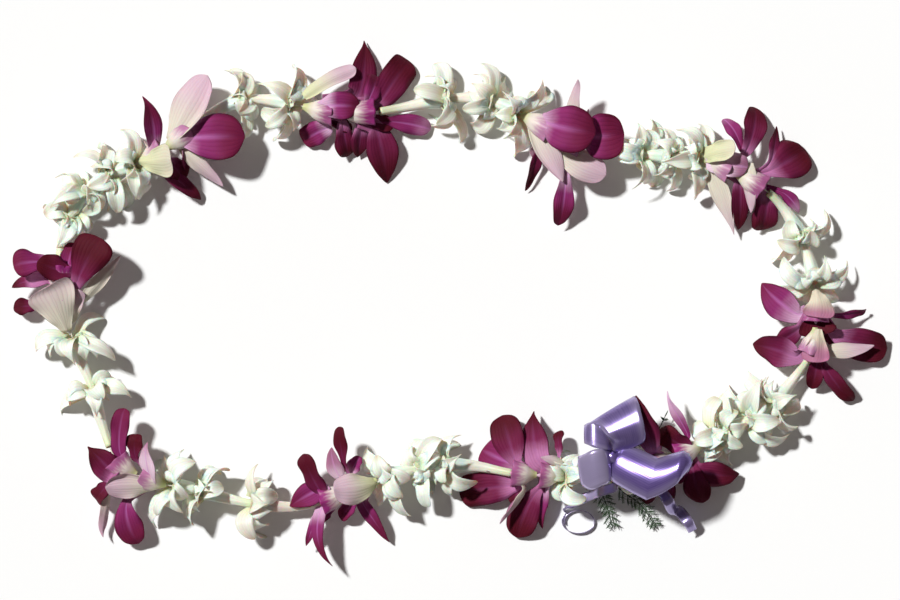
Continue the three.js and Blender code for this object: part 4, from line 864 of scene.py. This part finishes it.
def spindle(skin, start, end, radius, tone):
    """A fine tapering needle or twig with three sides."""
    way = unit(end - start)
    side = unit(np.cross(way, UP + 0.01))
    lift = np.cross(side, way)
    shares, radii = (0, 0.35, 0.75, 1), (0.7, 1.0, 0.7, 0.1)
    rings = []
    for share, size in zip(shares, radii):
        at = start + (end - start) * share
        rings.append([at + (side * math.cos(a) + lift * math.sin(a)) * radius * size
                      for a in (0.3, 2.4, 4.5)])
    rings = np.maximum(np.array(rings), [-1e9, -1e9, 0.03])
    skin.loft(rings, np.linspace(0, 1, 4), shares, tone)


def fern(number):
    angle, twigs, reach, route = FERNS[number]
    random = make_random(700 + number)
    at, _, side, above = station((COLLAR["start"] + COLLAR["end"]) / 2)
    turn = math.radians(angle)
    leave = COLLAR["radius"] + FERN_RIB / 2 + FERN_GAP
    start = at + (side * math.cos(turn) + above * math.sin(turn)) * leave
    rib = spline([start] + [plan(*p) for p in route], 16)
    rib[:, 2] = np.maximum(rib[:, 2], 0.6)
    skin = Skin()
    for a, b in zip(rib[:-1:4], rib[4::4]):
        spindle(skin, a, b + (b - a) * 0.15, 0.42, (0, 0, 0))
    for i in range(twigs):
        share = 0.28 + 0.7 * i / twigs
        base = rib[int(share * (len(rib) - 1))]
        way = unit(rib[min(int(share * (len(rib) - 1)) + 2, len(rib) - 1)]
                   - rib[max(int(share * (len(rib) - 1)) - 2, 0)])
        level = unit(np.cross(UP, way))
        for hand in (-1, 1):
            swept = reach * (0.72 + random() * 0.4) * (1 - 0.5 * max(share - 0.6, 0) / 0.4)
            rise = (random() - 0.3) * 1.8
            end = base + level * hand * swept * 0.8 + way * swept * 0.75 + UP * rise
            spindle(skin, base, end, 0.24, (0.2, 0, 0))
            for j in range(FERN_NEEDLES):
                part = 0.2 + 0.8 * j / FERN_NEEDLES
                root = base + (end - base) * part
                fine = reach * 0.4 * (1.1 - 0.5 * part)
                for other in (-1, 1):
                    spread = unit(unit(end - base) + level * other * (0.7 + random() * 0.5)
                                  + UP * (random() - 0.35) * 0.9)
                    tip = root + spread * fine * (0.75 + random() * 0.5)
                    spindle(skin, root, tip, 0.17, (0.4 + random() * 0.6, 0, 0))
    return skin.make(f"fern_sprig_{number + 1}_needles", (fern_leaf,), "fern",
                     f"fern_sprig_{number + 1}")


THREAD_RADIUS = 0.4
THREAD_STEP = 1.1
PLY_TURN = 1.25
KNOT_SIZE = 0.38
KNOT_STRAND = 0.36


def thread():
    """Two-ply cotton: an oval section that turns as it goes, and an overhand knot."""
    s = np.linspace(0, LENGTH, int(LENGTH / THREAD_STEP), endpoint=False)
    point, _, side, above = station(s)
    angle = np.arange(8) / 8 * 2 * math.pi
    plies = np.abs(np.cos(angle[None] - (s * PLY_TURN)[:, None]))
    radius = THREAD_RADIUS * (0.76 + 0.24 * plies)
    rings = rings_about(point, side, above, angle, radius, radius)
    skin = Skin()
    skin.loft(rings[:, ::-1], np.arange(9) / 8, np.append(s, LENGTH) / 10, ends="loop")
    t = np.linspace(0, 2 * math.pi, 49)[:-1]
    knot = np.stack([np.sin(t) + 2 * np.sin(2 * t), np.cos(t) - 2 * np.cos(2 * t),
                     -np.sin(3 * t)], axis=1) * KNOT_SIZE
    centre, along, side, above = station(0.0)
    path = centre + knot[:, :1] * side + knot[:, 1:2] * above + knot[:, 2:] * along
    tangent = unit(np.roll(path, -1, axis=0) - np.roll(path, 1, axis=0))
    first = unit(np.cross(tangent, along + 0.02))
    second = np.cross(tangent, first)
    bend = np.arange(6) / 6 * 2 * math.pi
    rings = rings_about(path, first, second, bend, KNOT_STRAND, KNOT_STRAND)
    skin.loft(rings, np.arange(7) / 6, np.linspace(0, 1, 49), ends="loop")
    return skin.make("thread_strand", (cotton,), "thread", "thread")


class Paint:
    """A node material, built with short calls."""

    def __init__(self, name, roughness, specular=0.5):
        self.material = bpy.data.materials.new(name)
        self.material.use_nodes = True
        self.tree = self.material.node_tree
        self.shader = self.tree.nodes["Principled BSDF"]
        self.set("Roughness", roughness)
        self.set("Specular IOR Level", specular)
        uv = self.node("ShaderNodeUVMap")
        uv.uv_map = "petal"
        split = self.node("ShaderNodeSeparateXYZ")
        self.link(uv.outputs[0], split.inputs[0])
        self.uv, self.across, self.along = uv.outputs[0], split.outputs[0], split.outputs[1]
        tone = self.node("ShaderNodeVertexColor")
        tone.layer_name = "tone"
        parts = self.node("ShaderNodeSeparateColor")
        self.link(tone.outputs[0], parts.inputs[0])
        self.tone = parts.outputs

    def node(self, kind, **values):
        made = self.tree.nodes.new(kind)
        for key, value in values.items():
            setattr(made, key, value)
        return made

    def link(self, out, into):
        self.tree.links.new(out, into)

    def feed(self, socket, value):
        if isinstance(value, bpy.types.NodeSocket):
            self.link(value, socket)
        else:
            socket.default_value = value

    def math(self, operation, *values):
        made = self.node("ShaderNodeMath", operation=operation)
        for socket, value in zip(made.inputs, values):
            self.feed(socket, value)
        return made.outputs[0]

    def times(self, a, b):
        return self.math("MULTIPLY", a, b)

    def set(self, name, value):
        self.shader.inputs[name].default_value = value

    def smooth(self, value, low, high, to_low=0.0, to_high=1.0):
        made = self.node("ShaderNodeMapRange", interpolation_type="SMOOTHSTEP")
        for socket, v in zip(made.inputs, (value, low, high, to_low, to_high)):
            self.feed(socket, v)
        return made.outputs[0]

    def mix(self, share, a, b):
        made = self.node("ShaderNodeMix", data_type="RGBA")
        self.feed(made.inputs[0], share)
        for socket, value in ((made.inputs[6], a), (made.inputs[7], b)):
            self.feed(socket, value if isinstance(value, bpy.types.NodeSocket) else linear(value))
        return made.outputs[2]

    def noise(self, scale, detail=2.0, stretch=None, uv=False):
        made = self.node("ShaderNodeTexNoise")
        made.inputs["Scale"].default_value = scale
        made.inputs["Detail"].default_value = detail
        if uv:
            source = self.uv
        else:
            source = self.node("ShaderNodeTexCoord").outputs["Object"]
        if stretch:
            place = self.node("ShaderNodeMapping")
            place.inputs["Scale"].default_value = stretch
            self.link(source, place.inputs[0])
            source = place.outputs[0]
        self.link(source, made.inputs["Vector"])
        return made.outputs["Fac"]

    def colour(self, value):
        self.link(value, self.shader.inputs["Base Color"])

    def bump(self, height, strength, distance):
        made = self.node("ShaderNodeBump")
        made.inputs["Strength"].default_value = strength
        made.inputs["Distance"].default_value = distance
        self.link(height, made.inputs["Height"])
        self.link(made.outputs[0], self.shader.inputs["Normal"])


def linear(colour):
    """An sRGB colour of 0 to 255 as linear light, with alpha."""
    parts = [c / 255 for c in colour]
    return [c / 12.92 if c <= 0.04045 else ((c + 0.055) / 1.055) ** 2.4 for c in parts] + [1.0]


def petal_veins(p, count):
    """Fine lines that fan out from the midrib, and the distance from the midline."""
    off = p.math("ABSOLUTE", p.math("SUBTRACT", p.times(p.across, 2.0), 1.0))
    drift = p.times(p.noise(7.0, 2.0, uv=True), 1.6)
    lines = p.math("SINE", p.math("ADD", p.times(off, count), drift))
    return off, p.math("POWER", p.math("ABSOLUTE", lines), 6.0)


def make_orchid_petal():
    p = Paint("orchid_petal_velvet", 0.6, 0.07)
    off, veins = petal_veins(p, 16.0)
    blotch = p.noise(140.0, 3.0)
    place = p.math("ADD", p.along, p.times(p.math("SUBTRACT", blotch, 0.5), 0.16))
    # The inner side runs from a pale throat through magenta to a burgundy end.
    first, second = p.smooth(place, 0.06, 0.44), p.smooth(place, 0.36, 0.88)
    bright = p.mix(second, p.mix(first, (226, 196, 222), (152, 54, 124)), (126, 34, 76))
    deep = p.mix(second, p.mix(first, (188, 120, 168), (112, 32, 70)), (80, 17, 31))
    inner = p.mix(p.tone[0], bright, deep)
    streak = p.times(p.smooth(off, 0.2, 0.0), p.smooth(p.along, 0.95, 0.3))
    streak = p.times(streak, p.smooth(p.tone[0], 0.0, 1.0, 0.7, 0.12))
    inner = p.mix(streak, inner, (206, 132, 204))
    inner = p.mix(p.times(veins, 0.12), inner, (84, 4, 44))
    rim = p.times(p.smooth(off, 0.8, 1.0), p.smooth(p.along, 0.25, 0.6))
    inner = p.mix(p.times(rim, 0.62), inner, (52, 4, 22))
    pale = p.mix(p.smooth(p.along, 0.05, 0.8), (224, 216, 206), (206, 172, 190))
    inner = p.mix(p.tone[1], inner, pale)
    # The back is paler, greenish at its foot, with fine veins.
    back_soft = p.mix(p.smooth(p.along, 0.0, 0.6), (222, 210, 196), (176, 108, 142))
    back_deep = p.mix(p.smooth(p.along, 0.0, 0.6), (164, 122, 136), (92, 30, 52))
    back = p.mix(p.tone[0], back_soft, back_deep)
    light = p.mix(p.smooth(p.along, 0.1, 0.9), (216, 211, 197), (204, 176, 190))
    back = p.mix(p.tone[1], back, light)
    back = p.mix(p.times(veins, 0.16), back, (176, 122, 152))
    back = p.mix(p.times(rim, 0.25), back, (150, 84, 122))
    side = p.math("GREATER_THAN", p.tone[2], 0.99)
    green = p.times(p.math("SUBTRACT", p.tone[2], side), p.smooth(p.along, 0.75, 0.05))
    both = p.mix(side, inner, back)
    both = p.mix(p.times(green, 0.75), both, (206, 214, 156))
    p.colour(both)
    grain = p.noise(1400.0, 2.0)
    height = p.math("ADD", p.times(veins, 0.6), p.times(grain, 0.4))
    p.bump(height, 0.35, 0.0004)
    p.set("Subsurface Weight", 0.08)
    p.set("Subsurface Scale", 0.0012)
    return p.material


def make_orchid_heart():
    p = Paint("orchid_heart_wax", 0.45, 0.35)
    inside = p.smooth(p.along, 1.0, 1.12)
    foot = p.mix(p.smooth(p.along, 0.08, 0.42), (200, 210, 150), (228, 222, 210))
    mouth = p.mix(p.tone[0], (216, 176, 204), (142, 34, 110))
    streaks = p.noise(5.0, 2.0, stretch=(6.0, 0.6, 1.0), uv=True)
    edge = p.math("ADD", p.along, p.times(p.math("SUBTRACT", streaks, 0.5), 0.5))
    outside = p.mix(p.smooth(edge, 0.4, 0.86), foot, mouth)
    throat = p.mix(p.smooth(p.along, 1.5, 1.1), (214, 204, 170), (120, 18, 74))
    base = p.mix(inside, outside, throat)
    base = p.mix(p.tone[1], base, (230, 216, 226))
    base = p.mix(p.times(p.noise(420.0, 3.0), 0.16), base, (176, 96, 148))
    p.colour(base)
    p.bump(p.noise(900.0, 2.0), 0.2, 0.0003)
    p.set("Subsurface Weight", 0.12)
    p.set("Subsurface Scale", 0.0012)
    return p.material


def make_tuberose_petal():
    p = Paint("tuberose_petal_wax", 0.42, 0.4)
    off, veins = petal_veins(p, 11.0)
    cream = p.mix(p.tone[1], (234, 234, 218), (244, 243, 234))
    cream = p.mix(p.times(p.noise(160.0, 3.0), 0.5), cream, (246, 246, 240))
    green = p.smooth(p.along, 0.5, 0.0)
    base = p.mix(p.times(green, 0.55), cream, (204, 214, 146))
    base = p.mix(p.times(p.tone[0], 0.6), base, (228, 196, 188))
    throat = p.smooth(p.along, 1.15, 1.6)
    base = p.mix(throat, base, (170, 184, 96))
    base = p.mix(p.times(veins, 0.16), base, (186, 190, 150))
    tip = p.times(p.smooth(p.along, 0.86, 1.0), p.smooth(p.along, 1.02, 1.0))
    base = p.mix(p.times(tip, 0.4), base, (178, 166, 118))
    p.colour(base)
    height = p.math("ADD", p.times(veins, 0.5), p.times(p.noise(900.0), 0.3))
    p.bump(height, 0.3, 0.0004)
    p.set("Subsurface Weight", 0.5)
    p.set("Subsurface Scale", 0.004)
    return p.material


def make_ribbon():
    p = Paint("ribbon_satin", 0.24, 0.7)
    # Fine ridges run along the ribbon, as pressed into curling ribbon.
    ridge = p.math("SINE", p.times(p.across, 120.0))
    drift = p.noise(3.0, 2.0, stretch=(7.0, 0.8, 1.0), uv=True)
    off = p.math("ABSOLUTE", p.math("SUBTRACT", p.times(p.across, 2.0), 1.0))
    base = p.mix(drift, (86, 68, 138), (128, 106, 174))
    # Painted sheen: the ribbon is painted paler towards its edges, for grazing light, and stays darker
    # violet in its middle beside the highlight.
    base = p.mix(p.times(p.smooth(off, 0.45, 0.98), 0.7), base, (176, 164, 206))
    # Painted sheen: loops and tails are painted paler by their share of painted sheen.
    base = p.mix(p.tone[0], base, (206, 196, 232))
    # Painted highlight: the crests of the ridges are painted a little lighter.
    base = p.mix(p.times(p.smooth(ridge, 0.2, 1.0), 0.1), base, (186, 170, 224))
    p.colour(base)
    p.bump(ridge, 0.06, 0.0002)
    p.set("Metallic", 0.6)
    p.set("Coat Weight", 0.4)
    p.set("Coat Roughness", 0.2)
    return p.material


def make_fern():
    p = Paint("fern_leaf_fine", 0.55)
    base = p.mix(p.tone[0], (30, 50, 30), (74, 104, 72))
    base = p.mix(p.smooth(p.along, 0.5, 1.0), base, (104, 130, 104))
    base = p.mix(p.times(p.noise(300.0, 3.0), 0.35), base, (52, 84, 44))
    p.colour(base)
    return p.material


def make_cotton():
    p = Paint("cotton_thread", 0.85, 0.2)
    twist = p.math("SINE", p.math("ADD", p.times(p.along, 62.0),
                                  p.times(p.across, 12.6)))
    # Painted shade: the thread is painted darker where the bump is low, in the grooves between its plies,
    # and lighter on the plies.
    p.colour(p.mix(p.smooth(twist, -1.0, 1.0), (214, 208, 190), (246, 242, 230)))
    p.bump(twist, 0.4, 0.0003)
    p.set("Sheen Weight", 0.4)
    return p.material


orchid_petal = make_orchid_petal()
orchid_heart = make_orchid_heart()
tuberose_petal = make_tuberose_petal()
ribbon = make_ribbon()
fern_leaf = make_fern()
cotton = make_cotton()

obstacles = [piece_tree(orchid(name, number)) for number, name in enumerate(ORCHIDS)]
bow, ribbon_area = ribbon_bow()
obstacles.append(piece_tree(bow))
for number in range(len(TUBEROSES)):
    obstacles.append(piece_tree(tuberose(number, obstacles)))
for number in range(len(FERNS)):
    fern(number)
thread()

# A plain pale floor
HALF_FLOOR = 3.0
corners = [(x * HALF_FLOOR, y * HALF_FLOOR, 0) for x, y in ((-1, -1), (1, -1), (1, 1), (-1, 1))]
floor_mesh = bpy.data.meshes.new("floor")
floor_mesh.from_pydata(corners, [], [(0, 1, 2, 3)])
floor = placed("floor", floor_mesh)
floor_material = bpy.data.materials.new("floor_pale")
floor_material.use_nodes = True
floor_shader = floor_material.node_tree.nodes["Principled BSDF"]
floor_shader.inputs["Base Color"].default_value = (0.93, 0.945, 0.95, 1)
floor_shader.inputs["Roughness"].default_value = 0.9
floor_mesh.materials.append(floor_material)

# Soft studio light: a key from the upper left and an even fill
KEY_WAY = (-0.62, 0.46, 1.0)
key_data = bpy.data.lights.new("key", "SUN")
key_data.energy = 3.75
key_data.angle = math.radians(5)
key_data.color = (1.0, 0.995, 0.98)
key = placed("key", key_data)
key.rotation_euler = Vector(KEY_WAY).to_track_quat("Z", "Y").to_euler()

world = bpy.data.worlds.new("studio")
bpy.context.scene.world = world
world.use_nodes = True
world.node_tree.nodes["Background"].inputs["Color"].default_value = (1.0, 0.88, 0.86, 1)
world.node_tree.nodes["Background"].inputs["Strength"].default_value = 0.125
bpy.context.scene.view_settings.view_transform = "Standard"
bpy.context.scene.view_settings.look = "None"
